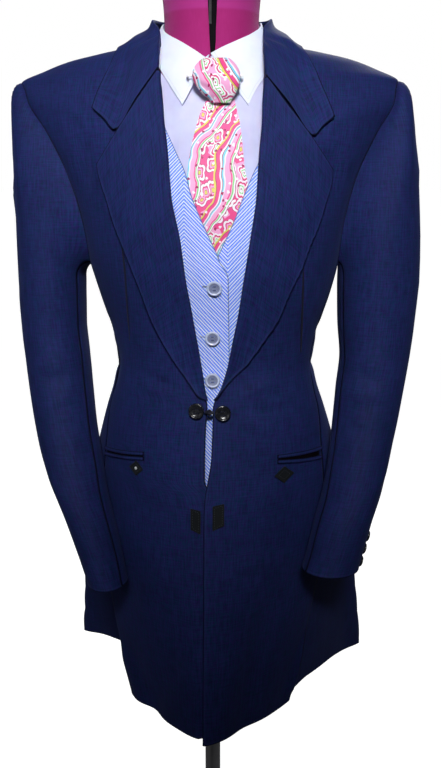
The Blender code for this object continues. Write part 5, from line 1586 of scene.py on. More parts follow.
waistcoat = {
    "wall": 1.6 * mm,
    "vEdges": [
        (1161, 14.8, 15.2), (1199, -2.4, 32.3), (1226, -14.2, 42.8), (1251, -21.3, 53), (1275, -32.6, 64.5),
        (1308, -48.5, 75), (1350, -64, 84), (1372, -74, 88),
    ],
    "vLowZ": 1.161,
    "lapX": {"left": 26.5 * mm, "right": 12.0 * mm},
    "levelling": (8.0 * mm, 50.0 * mm),  # x where the left front starts to come down, and over how far
    "lift": {"left": 10.8 * mm, "right": 8.4 * mm},
    "heights": (872, 905, 940, 980, 1020, 1060, 1098, 1135, 1161, 1195, 1230, 1265, 1300, 1335, 1360),
}


def waistcoatLift(side, x):
    # The left front lies over the right one and comes down to its level beside it.
    left, right = (waistcoat["lift"][name] for name in sides)
    start, reach = waistcoat["levelling"]
    return right if side == "right" else across(left, right, eased((start - x) / reach))


def waistcoatSideTurn(z, reach):
    start, rise = waistcoatRows["sideRise"]
    return waistcoatRows["sideTurn"] + reach * clamped((z - start) / rise)


def waistcoatPoint(x, z):
    return formFrontPoint(x, z, waistcoat["lift"]["left"])


waistcoatRows = {
    "step": 5.0,
    "backStep": 12.0,
    "columns": 40,
    "backColumns": 56,
    "gap": 0.45 * mm,
    "lapRise": 26.0 * mm,
    "sideTurn": 92.0,
    "sideReach": (-26.0, 24.0),  # of the front and the back
    "sideRise": (1.12, 0.10),  # height where the side starts to turn, and over how far
    "waves": [(80.0, 0.8), (30.0, 0.25)],
}
waistcoatCreases = {
    "left": [
        (5, 1.2, [(10, 1064), (-14, 1072), (-34, 1090)]), (5, 1, [(9, 1012), (-12, 1018), (-24, 1030)]),
        (6, -1.2, [(12, 1120), (-16, 1104), (-40, 1096)]),
    ],
    "right": [
        (6, -1.2, [(22, 1090), (36, 1104), (50, 1124)]), (5, 1, [(20, 1040), (32, 1046), (40, 1058)]),
    ],
}


def makeWaistcoat():
    made = []
    lowZ = waistcoat["vLowZ"]
    frontReach, backReach = waistcoatRows["sideReach"]
    for side in sides:
        sign = sideSign(side)
        levels = []
        for height in fineHeights(waistcoat["heights"], waistcoatRows["step"]):
            z = height * mm
            edgeX = pairValue(waistcoat["vEdges"], max(z, lowZ), side)
            if z < lowZ:
                edgeX = across(edgeX, waistcoat["lapX"][side], eased((lowZ - z) / waistcoatRows["lapRise"]))
            levels.append((z, sign * turnOfX(form["sections"], edgeX, z), waistcoatSideTurn(z, frontReach)))

        def pointAt(level, share):
            z, first, last = level
            turn = across(first, last, share)
            x = formPoint(sign * turn, z).x
            return offRing(formPoint, sign * turn, z, waistcoatLift(side, x))

        grid = gridOf(levels, pointAt, waistcoatRows["columns"], (0.0, waistcoatRows["gap"]))
        shift = np.array([sign * row[0][0] for row in grid]) - sign * waistcoat["lapX"]["left"]
        piece = makeCloth(f"waistcoatFront_{side}", grid, looks["waistcoat"], waistcoat["wall"],
                          "turned seam turned seam", grain=0.0, grainShift=shift, creases=waistcoatCreases[side],
                          placeAt=waistcoatPoint, waves=waistcoatRows["waves"])
        made.append(ownPiece(piece, "waistcoat_cloth", f"waistcoat_front_{side}"))

    def backPointAt(level, share):
        z, outer = level
        turn = across(outer, 360.0 - outer, share)
        return offRing(formPoint, turn if turn <= 180.0 else turn - 360.0, z, waistcoat["lift"]["right"])

    levels = [(height * mm, waistcoatSideTurn(height * mm, backReach))
              for height in fineHeights(waistcoat["heights"], waistcoatRows["backStep"])]
    grid = gridOf(levels, backPointAt, waistcoatRows["backColumns"], (waistcoatRows["gap"], waistcoatRows["gap"]))
    piece = makeCloth("waistcoatBack", grid, looks["waistcoat"], waistcoat["wall"], "seam seam turned seam",
                      waves=waistcoatRows["waves"])
    made.append(ownPiece(piece, "waistcoat_cloth", "waistcoat_back"))
    return made


# Shirt

shirt = {
    "wall": 1.2 * mm,
    "leafWall": 1.0 * mm,
    "lift": 2.2 * mm,
    "heights": (1128, 1160, 1195, 1230, 1265, 1298, 1326, 1348, 1360),
    "middleX": 9.0 * mm,
    "sideX": {"left": -82.0 * mm, "right": 96.0 * mm},
    "topRise": 24.0 * mm,
    "neckY": 4.0 * mm,
    "bandRadius": 59.4 * mm,
    "bandLift": 2.4 * mm,
    "leafFoldRadius": 61.2 * mm,
    "leafLift": 4.2 * mm,
    "leafStartTurn": {"left": 4.0, "right": 6.0},
    "leafLow": {
        "left": [(-27.5, None, 1327.0), (-41.0, None, 1347.0), (-54.0, None, 1367.0), (-67.0, -34.0, 1391.0),
                 (-69.0, 4.0, 1400.0), (-58.0, 44.0, 1402.0), (-31.0, 66.0, 1404.0), (0.0, 73.0, 1404.0)],
        "right": [(47.4, None, 1327.0), (56.0, None, 1345.0), (65.0, None, 1362.0), (70.0, -34.0, 1390.0),
                  (69.0, 4.0, 1400.0), (58.0, 44.0, 1402.0), (31.0, 66.0, 1404.0), (0.0, 73.0, 1404.0)],
    },
}
shirtRows = {
    "step": 5.0,
    "columns": 22,
    "leafAlong": 56,
    "leafColumns": 12,
    "leafShares": (0.36, 0.70),
    "leafSwell": 1.5 * mm,
    "leafCurl": 0.9 * mm,
    "fold": (1.3835, 0.048, 0.006, 100.0),  # height at the front, rises to side and back, turn of the side
    "bandLow": (1.3705, 0.031, 100.0),
    "bandDrop": 2.5 * mm,
    "rise": (45.0 * mm, 30.0 * mm, 1.30, 0.06),  # start and reach of the top's rise, across and up
    "bandAlong": 72,
    "bandRows": 9,
    "waves": [(45.0, 1.2), (20.0, 0.4)],
}
shirtCreases = {
    "left": [
        (4.5, 1.3, [(-26, 1330), (-29, 1292), (-31, 1250), (-27, 1205)]),
        (5, -1.2, [(-40, 1340), (-43, 1300), (-38, 1262)]), (4, 1, [(-14, 1225), (-20, 1200), (-16, 1180)]),
    ],
    "right": [
        (4.5, 1.3, [(48, 1330), (50, 1295), (54, 1262)]), (5, -1.2, [(60, 1338), (63, 1305), (60, 1280)]),
        (4, 1, [(54, 1240), (49, 1215), (44, 1196)]),
    ],
}


def collarFoldZ(turn):
    # Height of the shirt collar's fold, lowest at the centre front.
    frontZ, sideRise, backRise, sideTurn = shirtRows["fold"]
    turn = abs(turn)
    side = sideRise * min(turn / sideTurn, 1.0) ** 0.8
    return frontZ + side + backRise * max(turn - sideTurn, 0.0) / (180.0 - sideTurn)


def makeShirtFronts():
    made = []
    for side in sides:
        inner = shirt["middleX"] + sideSign(side) * coat["seamGap"] / 2

        def pointAt(height, share):
            # The top runs up towards the shoulders, under the collar.
            z = height * mm
            x = across(inner, shirt["sideX"][side], share)
            startX, reachX, startZ, reachZ = shirtRows["rise"]
            rise = shirt["topRise"] * eased((abs(x) - startX) / reachX) * max(0.0, z - startZ) / reachZ
            return offFront(formFrontBase, x, z + rise, shirt["lift"])

        grid = gridOf(fineHeights(shirt["heights"], shirtRows["step"]), pointAt, shirtRows["columns"])
        piece = makeCloth(f"shirtFront_{side}", grid, looks["shirtFront"], shirt["wall"], "turned free free free",
                          grain=0.0, creases=shirtCreases[side], waves=shirtRows["waves"],
                          placeAt=lambda x, z: formFrontPoint(x, z, shirt["lift"]))
        made.append(ownPiece(piece, "shirt_cloth", f"shirt_front_{side}"))
    return made


def makeShirtCollar():
    halves = {}
    count = shirtRows["leafAlong"]
    for side in sides:
        lowLine = [formFrontPoint(x, z, shirt["leafLift"]) if y is None else Vector((x * mm, y * mm, z * mm))
                   for x, y, z in shirt["leafLow"][side]]
        rows = []
        for share, low in zip(spread(0.0, 1.0, count), smoothAlong(lowLine, count)):
            turn = across(shirt["leafStartTurn"][side], 180.0 * sideSign(side), share)
            fold = neckRing(turn, shirt["leafFoldRadius"], collarFoldZ(turn))
            outward = (fold - bodyAxis(fold)).normalized() * shirtRows["leafSwell"]
            control = [across(fold, low, part) + outward for part in shirtRows["leafShares"]] + [low]
            heldPoints = [heldOff(form["sections"], point, shirt["leafLift"]) for point in control]
            trial = smoothAlong([fold] + heldPoints, 40)
            row = fineRow(lambda part: pointAlong(trial, part), shirtRows["leafColumns"])
            curl = curled(fold, (bodyAxis(fold) - fold).normalized(), shirtRows["leafCurl"],
                          [math.pi * part for part in (1.0, 0.75, 0.5, 0.25)])
            rows.append(np.concatenate([np.array(curl), row]))
        halves[side] = rows
    settings = {"look": looks["shirt"], "wall": shirt["leafWall"], "kinds": "free turned turned turned"}
    leaf = makeCloth("shirtCollarLeaf", halves["left"] + halves["right"][::-1][1:], grain=1.0, waves=[(22.0, 0.35)],
                     **settings)
    ownPiece(leaf, "shirt_cloth", "shirt_collar_leaf")
    grid = []
    for turn in spread(6.0, 354.0, shirtRows["bandAlong"]):
        signed = turn if turn <= 180.0 else turn - 360.0
        top = neckRing(signed, shirt["bandRadius"], collarFoldZ(signed) - shirtRows["bandDrop"])
        lowZ, rise, reach = shirtRows["bandLow"]
        low = offRing(formPoint, signed, lowZ + rise * min(abs(signed) / reach, 1.0), shirt["bandLift"])
        middle = heldOff(form["sections"], across(low, top, 0.5), shirt["bandLift"])
        grid.append(smoothAlong([low, middle, top], shirtRows["bandRows"]))
    band = makeCloth("shirtCollarBand", grid, waves=[(22.0, 0.25)], **settings)
    return leaf, ownPiece(band, "shirt_cloth", "shirt_collar_band")


# Tie

tie = {
    "lift": 5.2 * mm,
    "wall": 2.6 * mm,
    "swell": 0.5 * mm,
    "edges": [
        (1138, 13, 16), (1178, -9, 38), (1199, -21, 48), (1224, -22, 48.5), (1241, -20.5, 47.4),
        (1258, -19.5, 44), (1284, -15.5, 41.2), (1301, -11.5, 39), (1311, -9, 37.2), (1327, -2.5, 33),
        (1331, -0.5, 32), (1344, 3, 30),
    ],
    "knotRows": [
        (1331, 5, 28, -85.8, 6), (1336, 3.5, 30, -84.6, 8.5), (1339.5, -2.5, 33, -82.6, 13),
        (1346, -8.5, 36, -80.4, 16.5), (1356, -14.5, 39, -78.8, 18.5), (1364, -16, 38.5, -77.6, 17.5),
        (1372, -13.5, 35, -75, 14.5), (1379, -8, 29, -72.6, 9.5), (1382, -4, 25, -71, 6),
    ],
}
tieRows = {
    "step": 4.0,
    "columns": 24,
    "pleats": [  # share across, height in mm and half width
        (0.14, -1.2, 0.05), (0.30, 1.4, 0.07), (0.46, -1.6, 0.06), (0.62, 1.3, 0.07), (0.80, -1.2, 0.06),
    ],
    "pleatReach": 48.0 * mm,
    "knotRings": 34,
    "knotSteps": 56,
    "knotSquareness": 0.86,
    "knotFrontY": -0.0965,
    "knotMiddle": (0.012, -0.070),
    "knotGrain": (0.8, 0.6, 0.05),  # turn of the print, and its shift
    "knotFoldsTo": -0.083,  # y up to which the folds reach
    "folds": [
        (2.4, -1.5, [(-14.0, 1372.0), (2.0, 1360.0), (24.0, 1342.0)]),
        (2.2, -1.2, [(-8.0, 1378.0), (12.0, 1370.0), (34.0, 1360.0)]),
        (2.2, -1.2, [(-11.0, 1354.0), (2.0, 1346.0), (10.0, 1336.0)]),
    ],
}


def makeTie():
    levels = [(height, *rowAt(tie["edges"], height))
              for height in fineHeights([tie["edges"][0][0], tie["edges"][-1][0]], tieRows["step"])]

    def pointAt(level, share):
        height, left, right = level
        return formFrontPoint(across(left, right, share), height,
                              tie["lift"] + tie["swell"] * math.sin(math.pi * share))

    def pleated(along, up):
        share = along / along[:, -1:]
        fade = 1 - easedArray((up[-1:, :] - up) / tieRows["pleatReach"])
        relief = np.zeros_like(along)
        for place, height, width in tieRows["pleats"]:
            relief += height * mm * np.exp(-((share - place) / width) ** 2) * fade
        return relief

    blade = makeCloth("tieBlade", gridOf(levels, pointAt, tieRows["columns"]), looks["tie"], tie["wall"],
                      "turned turned turned free", waves=[(40.0, 1.0)], relief=pleated)
    ownPiece(blade, "tie_silk", "tie_blade")
    rings = []
    for height in spread(tie["knotRows"][0][0], tie["knotRows"][-1][0], tieRows["knotRings"]):
        left, right, back, depth = rowAt(tie["knotRows"], height)
        ring = []
        for angle in spread(0.0, 2 * math.pi, tieRows["knotSteps"] + 1)[:-1]:
            sideways = math.copysign(abs(math.sin(angle)) ** tieRows["knotSquareness"], math.sin(angle))
            x = (left + right) / 2 + (right - left) / 2 * sideways
            ring.append((x * mm, (back - depth / 2 * (1 + math.cos(angle))) * mm, height * mm))
        rings.append(ring + ring[:1])
    closed = np.array(rings)
    normals = gridNormals(closed, lambda point: Vector((*tieRows["knotMiddle"], point.z)))
    flattened = closed.copy()
    flattened[..., 1] = tieRows["knotFrontY"]
    folded = creaseRelief(flattened, tieRows["folds"], lambda x, z: Vector((x * mm, tieRows["knotFrontY"], z * mm)))
    folded = folded * (closed[..., 1] < tieRows["knotFoldsTo"])
    cosine, sine, shift = tieRows["knotGrain"]
    knot = closedLoft("tieKnot", (closed + normals * folded[..., None])[:, :-1], looks["tie"],
                      lambda spot, middle: (spot.x * cosine + spot.z * sine + shift,
                                            spot.z * cosine - spot.x * sine))
    return blade, ownPiece(knot, "tie_silk", "tie_knot")


# Trim on the coat

trim = {
    "pockets": {
        "left": ((-75.5, -132.5), (920.7, 912.3), (914.7, 905.6)),
        "right": ((85.3, 140.0), (919.6, 916.5), (913.4, 905.5)),
    },
    "weltHeight": 5.2 * mm,
    "weltWall": 1.2 * mm,
    "diamonds": {"left": (-86.3, 898.2, 9.5, 9.5), "right": (94.2, 893.5, 12.0, 10.5)},
    "edgePatches": {
        "left": (-16.8, -4.6, 859.0, 856.5, 833.0, 828.0),
        "right": (9.5, 23.2, 862.5, 865.5, 832.5, 838.5),
    },
    "patchGap": 0.5 * mm,
    "wall": 1.0 * mm,
    "layGap": 0.4 * mm,
}
trimRows = {
    "dartWidth": 2.4,
    "dartWall": 0.25 * mm,
    "dartLift": 0.12 * mm,
    "weltColumns": 34,
    "weltRows": 10,
    "weltBulge": 0.7 * mm,
    "mouthLift": 0.35 * mm,
    "mouthWall": 0.3 * mm,
    "mouthColumns": 24,
    "diamondCells": 20,
    "innerDiamond": 0.56,
    "stitchesPerSide": 6,
    "stitchRadius": 0.30 * mm,
    "stitchLift": 0.15 * mm,
    "patchInset": 2.2,
    "patchStitch": 3.0,
}


def frontSheet(name, rows, look, wall, kinds, lift, relief=None, waves=()):
    # A sheet laid on the coat's front through rows of x and z in mm.
    return makeCloth(name, [[coatFrontPlace(x, z, lift) for x, z in row] for row in rows], look, wall, kinds,
                     relief=relief, waves=waves)


def makePocket(side):
    (innerX, outerX), upper, lower = trim["pockets"][side]
    made = []

    def line(ends, drop, shares):
        return [(across(innerX, outerX, w), across(*ends, w) - drop) for w in shares]

    def rounded(along, up):
        return trimRows["weltBulge"] * np.sin(up / up[-1:, :] * math.pi) ** 0.6

    for name, ends in (("upper", upper), ("lower", lower)):
        shares = spread(0.0, 1.0, trimRows["weltColumns"])
        rows = [line(ends, drop, shares) for drop in spread(0.0, trim["weltHeight"] / mm, trimRows["weltRows"])]
        piece = frontSheet(f"pocketWelt{name.capitalize()}_{side}", rows, looks["coatLapel"], trim["weltWall"],
                           "turned " * 4, trim["patchGap"] + trim["weltWall"], relief=rounded)
        made.append(ownPiece(piece, "coat_cloth", f"pocket_welt_{name}_{side}"))
    # A near-black sheet between the welts: painted shade inside the pocket's mouth.
    shares = spread(0.03, 0.97, trimRows["mouthColumns"])
    top, low = line(upper, 4.0, shares), line(lower, 1.0, shares)
    middle = [((a[0] + b[0]) / 2, (a[1] + b[1]) / 2) for a, b in zip(top, low)]
    mouth = frontSheet(f"pocketMouth_{side}", [top, middle, low], looks["shadeInOpening"], trimRows["mouthWall"],
                       "free " * 4, trimRows["mouthLift"] + trimRows["mouthWall"])
    return made + [ownPiece(mouth, "black_trim")]


def addPrimitive(kind, **settings):
    # A Blender primitive with its place in its mesh.
    bpy.ops.object.select_all(action="DESELECT")
    getattr(bpy.ops.mesh, f"primitive_{kind}_add")(**settings)
    bpy.ops.object.transform_apply(location=True, rotation=True, scale=True)
    return bpy.context.object


def joinPieces(pieces, name):
    select(*pieces)
    bpy.ops.object.join()
    pieces[0].name = name
    return pieces[0]


def copyPiece(master, name):
    return newPiece(name, master.data.copy())


def makeStitches(name, places, look, slotName, radius):
    # Short stitches lying on the cloth. Each is a pair of ends on the surface.
    master = addPrimitive("uv_sphere", segments=8, ring_count=5, radius=1.0)
    beads = []
    for start, end in places:
        bead = copyPiece(master, name)
        turn = (end - start).to_track_quat("X", "Z").to_matrix().to_4x4()
        size = Matrix.Diagonal(((end - start).length / 2, radius, radius, 1.0))
        bead.data.transform(Matrix.Translation((start + end) / 2) @ turn @ size)
        beads.append(bead)
    bpy.data.objects.remove(master)
    piece = joinPieces(beads, name)
    piece.data.materials.append(look)
    piece.data.shade_smooth()
    return ownPiece(piece, slotName)


def stitchedLoop(corners, countOf, lift, fill):
    # Pairs of ends of the stitches along a closed outline, given by its corners in x and z.
    places = []
    for (ax, az), (bx, bz) in zip(corners, corners[1:] + corners[:1]):
        count = countOf(math.hypot(bx - ax, bz - az))
        for k in range(count):
            places.append([coatFrontPlace(across(ax, bx, t), across(az, bz, t), lift)
                           for t in ((k + 0.5 - fill / 2) / count, (k + 0.5 + fill / 2) / count)])
    return places


def makePatch(name, side, rows, corners, countOf, fill, waves=()):
    # A black patch with its row of stitches.
    lift = trim["patchGap"] + trim["wall"]
    patch = frontSheet(f"{name}Patch_{side}", rows, looks["trim"], trim["wall"], "turned " * 4, lift, waves=waves)
    ownPiece(patch, "black_trim", f"{name}_patch_{side}")
    places = stitchedLoop(corners, countOf, lift + trimRows["stitchLift"], fill)
    stitchName = f"{name}Stitches_{side}" if name == "diamond" else f"{name}PatchStitches_{side}"
    return [patch, makeStitches(stitchName, places, looks["trimThread"], "black_trim", trimRows["stitchRadius"])]


def makeDiamond(side):
    x, z, halfWidth, halfHeight = trim["diamonds"][side]
    steps = spread(-1.0, 1.0, trimRows["diamondCells"] + 1)
    rows = [[(x + halfWidth * (a + b) / 2, z + halfHeight * (a - b) / 2) for b in steps] for a in steps]
    wide, up = halfWidth * trimRows["innerDiamond"], halfHeight * trimRows["innerDiamond"]
    corners = [(x - wide, z), (x, z + up), (x + wide, z), (x, z - up)]
    return makePatch("diamond", side, rows, corners, lambda length: trimRows["stitchesPerSide"], 0.62)


def makeEdgePatch(side):
    xLow, xHigh, topA, topB, lowA, lowB = trim["edgePatches"][side]
    rows = [[(across(xLow, xHigh, w), across(across(topA, lowA, share), across(topB, lowB, share), w))
             for w in spread(0.0, 1.0, 22)] for share in spread(0.0, 1.0, 34)]
    inset = trimRows["patchInset"]
    corners = [(xLow + inset, topA - inset), (xHigh - inset, topB - inset), (xHigh - inset, lowB + inset),
               (xLow + inset, lowA + inset)]
    return makePatch("edge", side, rows, corners, lambda length: max(2, round(length / trimRows["patchStitch"])), 0.6,
                     [(16.0, 0.2)])


# Turned and pressed pieces

buttons = {
    "linkButtons": {"left": (-10.6, 975.6), "right": (20.7, 973.3)},
    "linkButtonRadius": 9.6 * mm,
    "linkBarRadius": 1.5 * mm,
    "waistcoatButtons": [(10.8, 1125.0), (8.0, 1064.0), (7.7, 1010.6)],
    "waistcoatButtonRadius": 9.0 * mm,
    "holeLength": 7.5,
    "holeStitches": 10,
    "cuffButtonRadius": 7.2 * mm,
    "cuffButtonAround": 103.0,
    "cuffButtonLift": 0.7 * mm,
    "cuffButtonHeights": {"left": (766.0, 781.0, 796.0), "right": (782.0, 797.0, 812.0)},
    "buttonLift": 0.8 * mm,
}
hardware = {
    "buttonSteps": 48,
    "buttonProfile": [  # shares of a button's radius and thickness
        (0.80, 0.0), (0.94, 0.22), (1.0, 0.50), (0.985, 0.74), (0.92, 0.94), (0.85, 1.0), (0.78, 0.96), (0.70, 0.78),
        (0.60, 0.66), (0.30, 0.62), (0.05, 0.62),
    ],
    "middleShare": 0.66,
    "holeRadius": 0.085,  # these three are shares of a button's radius
    "holeReach": 0.23,
    "threadRadius": 0.055,
    "collarBarEnds": ((-22.1, -77.2, 1362.0), (39.7, -76.6, 1362.0)),
    "collarBarRadius": 0.8 * mm,
    "collarBarEnd": 3.6 * mm,
    "collarBarRound": 0.45 * mm,
    "snapPlace": (-86.3, 898.2),
    "snapProfile": [  # radius and height in mm
        (2.0, 0.0), (2.0, 0.35), (1.75, 0.60), (1.45, 0.65), (1.30, 1.10), (0.95, 1.45), (0.30, 1.60),
    ],
    "linkRings": 11,
    "linkBulge": 2.3 * mm,
    "linkBulgeReach": 0.22,
    "smoothAngle": math.radians(40.0),
    "roundAngle": 28.0,
    "holeSteps": 14,
    "thread": (1.12, 0.16, 0.62),  # shares of a thread's length, height and place
    "thickness": {"link": 4.2 * mm, "cuff": 3.2 * mm, "waistcoat": 3.4 * mm},
    "linkCore": (0.6, 0.9, 0.4 * mm),  # end and middle radius as shares, and length of the end
    "linkThread": (0.92, 0.46),  # shares of the core's radius and of a ring's length
}


def turnUp(name, profile, steps, look, rounding=0.0):
    # A turned piece about Z, grown ring by ring from its underside. The profile is (radius, height).
    radius, height = profile[0]
    piece = addPrimitive("circle", vertices=steps, radius=radius, fill_type="NGON", location=(0, 0, height))
    piece.name = name
    bpy.ops.object.mode_set(mode="EDIT")
    bpy.ops.mesh.select_all(action="SELECT")
    for nextRadius, nextHeight in profile[1:]:
        bpy.ops.mesh.extrude_region_move(TRANSFORM_OT_translate={"value": (0, 0, nextHeight - height)})
        grow = nextRadius / radius
        bpy.ops.transform.resize(value=(grow, grow, 1.0), center_override=(0, 0, nextHeight))
        radius, height = nextRadius, nextHeight
    bpy.ops.mesh.select_all(action="SELECT")
    bpy.ops.mesh.remove_doubles(threshold=0.00001)
    bpy.ops.mesh.normals_make_consistent(inside=False)
    bpy.ops.object.mode_set(mode="OBJECT")
    piece.data.materials.append(look)
    if rounding:
        roundEdges(piece, rounding, 3, hardware["roundAngle"])
    bpy.ops.object.shade_smooth_by_angle(angle=hardware["smoothAngle"])
    return piece


def putPiece(piece, place, facing):
    # Moves the mesh of a piece made at the origin to its place, with its axis along facing.
    turn = Vector(facing).to_track_quat("Z", "Y").to_matrix().to_4x4()
    piece.data.transform(Matrix.Translation(place) @ turn)


def makeButton(radius, thickness, look, threadLook, middleLook=None):
    # A rimmed button with four holes and its sewing thread, at the origin.
    profile = [(radius * wide, thickness * up) for wide, up in hardware["buttonProfile"]]
    button = turnUp("button", profile, hardware["buttonSteps"], look)
    reach = radius * hardware["holeReach"]
    drill = {"vertices": hardware["holeSteps"], "radius": radius * hardware["holeRadius"], "depth": thickness * 4}
    cutter = joinPieces([addPrimitive("cylinder", location=(x, y, 0), **drill)
                         for y in (-reach, reach) for x in (-reach, reach)], "holes")
    holes = button.modifiers.new("holes", "BOOLEAN")
    holes.operation, holes.object, holes.solver = "DIFFERENCE", cutter, "EXACT"
    applyAll(button)
    bpy.data.objects.remove(cutter)
    if middleLook:
        button.data.materials.append(middleLook)
        for polygon in button.data.polygons:
            if polygon.center.xy.length < radius * hardware["middleShare"]:
                polygon.material_index = len(button.data.materials) - 1
    bpy.ops.object.shade_smooth_by_angle(angle=hardware["smoothAngle"])
    threads = []
    length, height, place = hardware["thread"]
    for y in (-reach, reach):
        thread = addPrimitive("uv_sphere", segments=12, ring_count=8, radius=1.0)
        thread.data.transform(Matrix.Translation((0, y, thickness * place)) @ Matrix.Diagonal(
            (reach * length, radius * hardware["threadRadius"], thickness * height, 1.0)))
        thread.data.materials.append(threadLook)
        thread.data.shade_smooth()
        threads.append(thread)
    return joinPieces([button] + threads, "buttonMaster")


def sewOn(master, slotName, places):
    # A copy of the button for each name, node, place and facing.
    for name, node, place, facing in places:
        piece = copyPiece(master, name)
        putPiece(piece, place, facing)
        ownPiece(piece, slotName, node)
    bpy.data.objects.remove(master)


def makeButtons():
    lift = buttons["buttonLift"]
    black = (looks["blackButton"], looks["darkThreadAndShade"])
    sewOn(makeButton(buttons["linkButtonRadius"], hardware["thickness"]["link"], *black), "black_button",
          [(f"linkButton_{side}", f"link_button_{side}", coatFrontPlace(x, z, lift),
            facingOf(coatFrontBase, x * mm, z * mm)) for side, (x, z) in buttons["linkButtons"].items()])
    around = buttons["cuffButtonAround"]
    places = []
    for side, heights in buttons["cuffButtonHeights"].items():
        for number, height in enumerate(heights, start=1):
            surface = lambda turn, z: sleeveRingPoint(side, turn, z)
            facing = facingOf(surface, around, height * mm, 2.0) * sideSign(side)
            places.append((f"cuffButton_{side}_{number}", f"cuff_button_{side}_{number}",
                           surface(around, height * mm) + facing * buttons["cuffButtonLift"], facing))
    sewOn(makeButton(buttons["cuffButtonRadius"], hardware["thickness"]["cuff"], *black), "black_button", places)
    places = []
    for number, (x, z) in enumerate(buttons["waistcoatButtons"], start=1):
        facing = facingOf(formFrontBase, x * mm, z * mm)
        places.append((f"waistcoatButton_{number}", f"waistcoat_button_{number}",
                       waistcoatPoint(x, z) + facing * lift, facing))
    pearl = (looks["pearlButton"], looks["holeThread"], looks["pearlMiddle"])
    sewOn(makeButton(buttons["waistcoatButtonRadius"], hardware["thickness"]["waistcoat"], *pearl),
          "pearl_button", places)


def makeButtonholes():
    # Bars of close stitches beside the waistcoat's buttons.
    places = []
    count = buttons["holeStitches"]
    for x, z in buttons["waistcoatButtons"]:
        facing = facingOf(formFrontBase, x * mm, z * mm)
        for k in range(count):
            spot = x - buttons["waistcoatButtonRadius"] / mm - buttons["holeLength"] * (k / count - 0.35)
            places.append([waistcoatPoint(spot, z + 1.4 + side * 1.3) + facing * 0.25 * mm for side in (-1, 1)])
    makeStitches("waistcoatHoles", places, looks["holeThread"], "waistcoat_cloth", 0.34 * mm)


def makeDart(side):
    # A narrow dark strip along the sunk seam of a front's dart, tapering to both ends: painted shade in the seam's
    # groove.
    crease = next(crease for crease in frontCreases[side] if crease[-1] == "dart")
    line = smoothAlong([Vector((x, z, 0.0)) for x, z in crease[2]], 40)
    rows = []
    for k, spot in enumerate(line):
        width = trimRows["dartWidth"] * math.sin(math.pi * (k + 1) / (len(line) + 1)) ** 0.5
        rows.append([(spot.x + width * place, spot.y) for place in (-0.5, 0.0, 0.5)])
    dart = frontSheet(f"dart_{side}_1", rows, looks["darkThreadAndShade"], trimRows["dartWall"], "free " * 4,
                      trimRows["dartLift"])
    return [ownPiece(dart, "coat_cloth")]


def makeLink():
    # The link between the two waist buttons, a core wound with thread.
    (leftX, leftZ), (rightX, rightZ) = buttons["linkButtons"].values()
    radius = buttons["linkBarRadius"]
    count = hardware["linkRings"]
    length = (rightX - leftX) * mm - 2 * buttons["linkButtonRadius"] - 1.0 * mm
    half = length / 2
    tip, body, end = hardware["linkCore"]
    profile = [(radius * tip, -half), (radius * body, end - half), (radius * body, half - end),
               (radius * tip, half)]
    wound, pressed = hardware["linkThread"]
    rings = [turnUp("linkCore", profile, 20, looks["blackButton"])]
    for k in range(count):
        fromMiddle = abs(k - (count - 1) / 2) / count
        bulge = hardware["linkBulge"] * math.exp(-(fromMiddle / hardware["linkBulgeReach"]) ** 2)
        ring = addPrimitive("torus", major_segments=24, minor_segments=8, major_radius=radius * wound + bulge,
                            minor_radius=length / count * pressed, location=(0, 0, (k + 0.5) / count * length - half))
        ring.data.materials.append(looks["darkThreadAndShade"])
        ring.data.shade_smooth()
        rings.append(ring)
    link = joinPieces(rings, "linkBar")
    middle = coatFrontPlace((leftX + rightX) / 2, (leftZ + rightZ) / 2,
                            buttons["buttonLift"] + radius + hardware["linkBulge"])
    putPiece(link, middle, (rightX - leftX, 0.0, rightZ - leftZ))
    ownPiece(link, "black_button", "link_bar")


def makeCollarBar():
    left, right = (Vector([value * mm for value in end]) for end in hardware["collarBarEnds"])
    length = (right - left).length
    radius = hardware["collarBarRadius"]
    parts = [turnUp("collarBarRod", [(radius, -length), (radius, 0.0)], 20, looks["brightMetal"])]
    for height in (0.0, -length):
        block = addPrimitive("cube", size=hardware["collarBarEnd"], location=(0, 0, height))
        roundEdges(block, hardware["collarBarRound"], 3, 30.0)
        block.data.materials.append(looks["brightMetal"])
        bpy.ops.object.shade_smooth_by_angle(angle=hardware["smoothAngle"])
        parts.append(block)
    bar = joinPieces(parts, "collarBar")
    putPiece(bar, right, right - left)
    ownPiece(bar, "bright_metal", "collar_bar")


def makeSnap():
    x, z = hardware["snapPlace"]
    profile = [(radius * mm, height * mm) for radius, height in hardware["snapProfile"]]
    snap = turnUp("diamondSnap", profile, 28, looks["brightMetal"])
    putPiece(snap, coatFrontPlace(x, z, trim["patchGap"] + trim["wall"] + trim["layGap"]),
             facingOf(coatFrontBase, x * mm, z * mm))
    return ownPiece(snap, "bright_metal", "diamond_snap")


# Form and stand

formRows = {
    "rows": [(780, 20), (784, 10), (790, 4), (800, 0), (1494, 0)],  # height and inset in mm
    "topSteps": (0.30, 0.55, 0.75, 0.90, 0.98, 1.0),
    "topRound": 6.0,
    "topInset": 7.0,
    "step": 7.0,
    "around": 96,
    "clothRadius": 0.06,
    "slotX": 5.0,
    "slot": [(1385, 2.3), (1393, 2.9), (1399, 3.2), (1420, 4.0), (1445, 5.2), (1470, 5.2), (1492, 5.2)],
    "slotWall": 1.0 * mm,
    "rodHeights": (1422.0, 1490.0),
    "rodWall": 0.6 * mm,
}

stand = {
    "baseRadius": 0.190,
    "baseHeight": 0.014,
    "poleRadius": 0.0105,
    "poleFoot": [(14, 0), (14, 4), (11, 12), (3, 22), (0, 30)],  # radius past the pole's and height, in mm
    "socketRadius": 0.024,
    "socketHeight": 0.045,
    "layGap": 0.4 * mm,
}


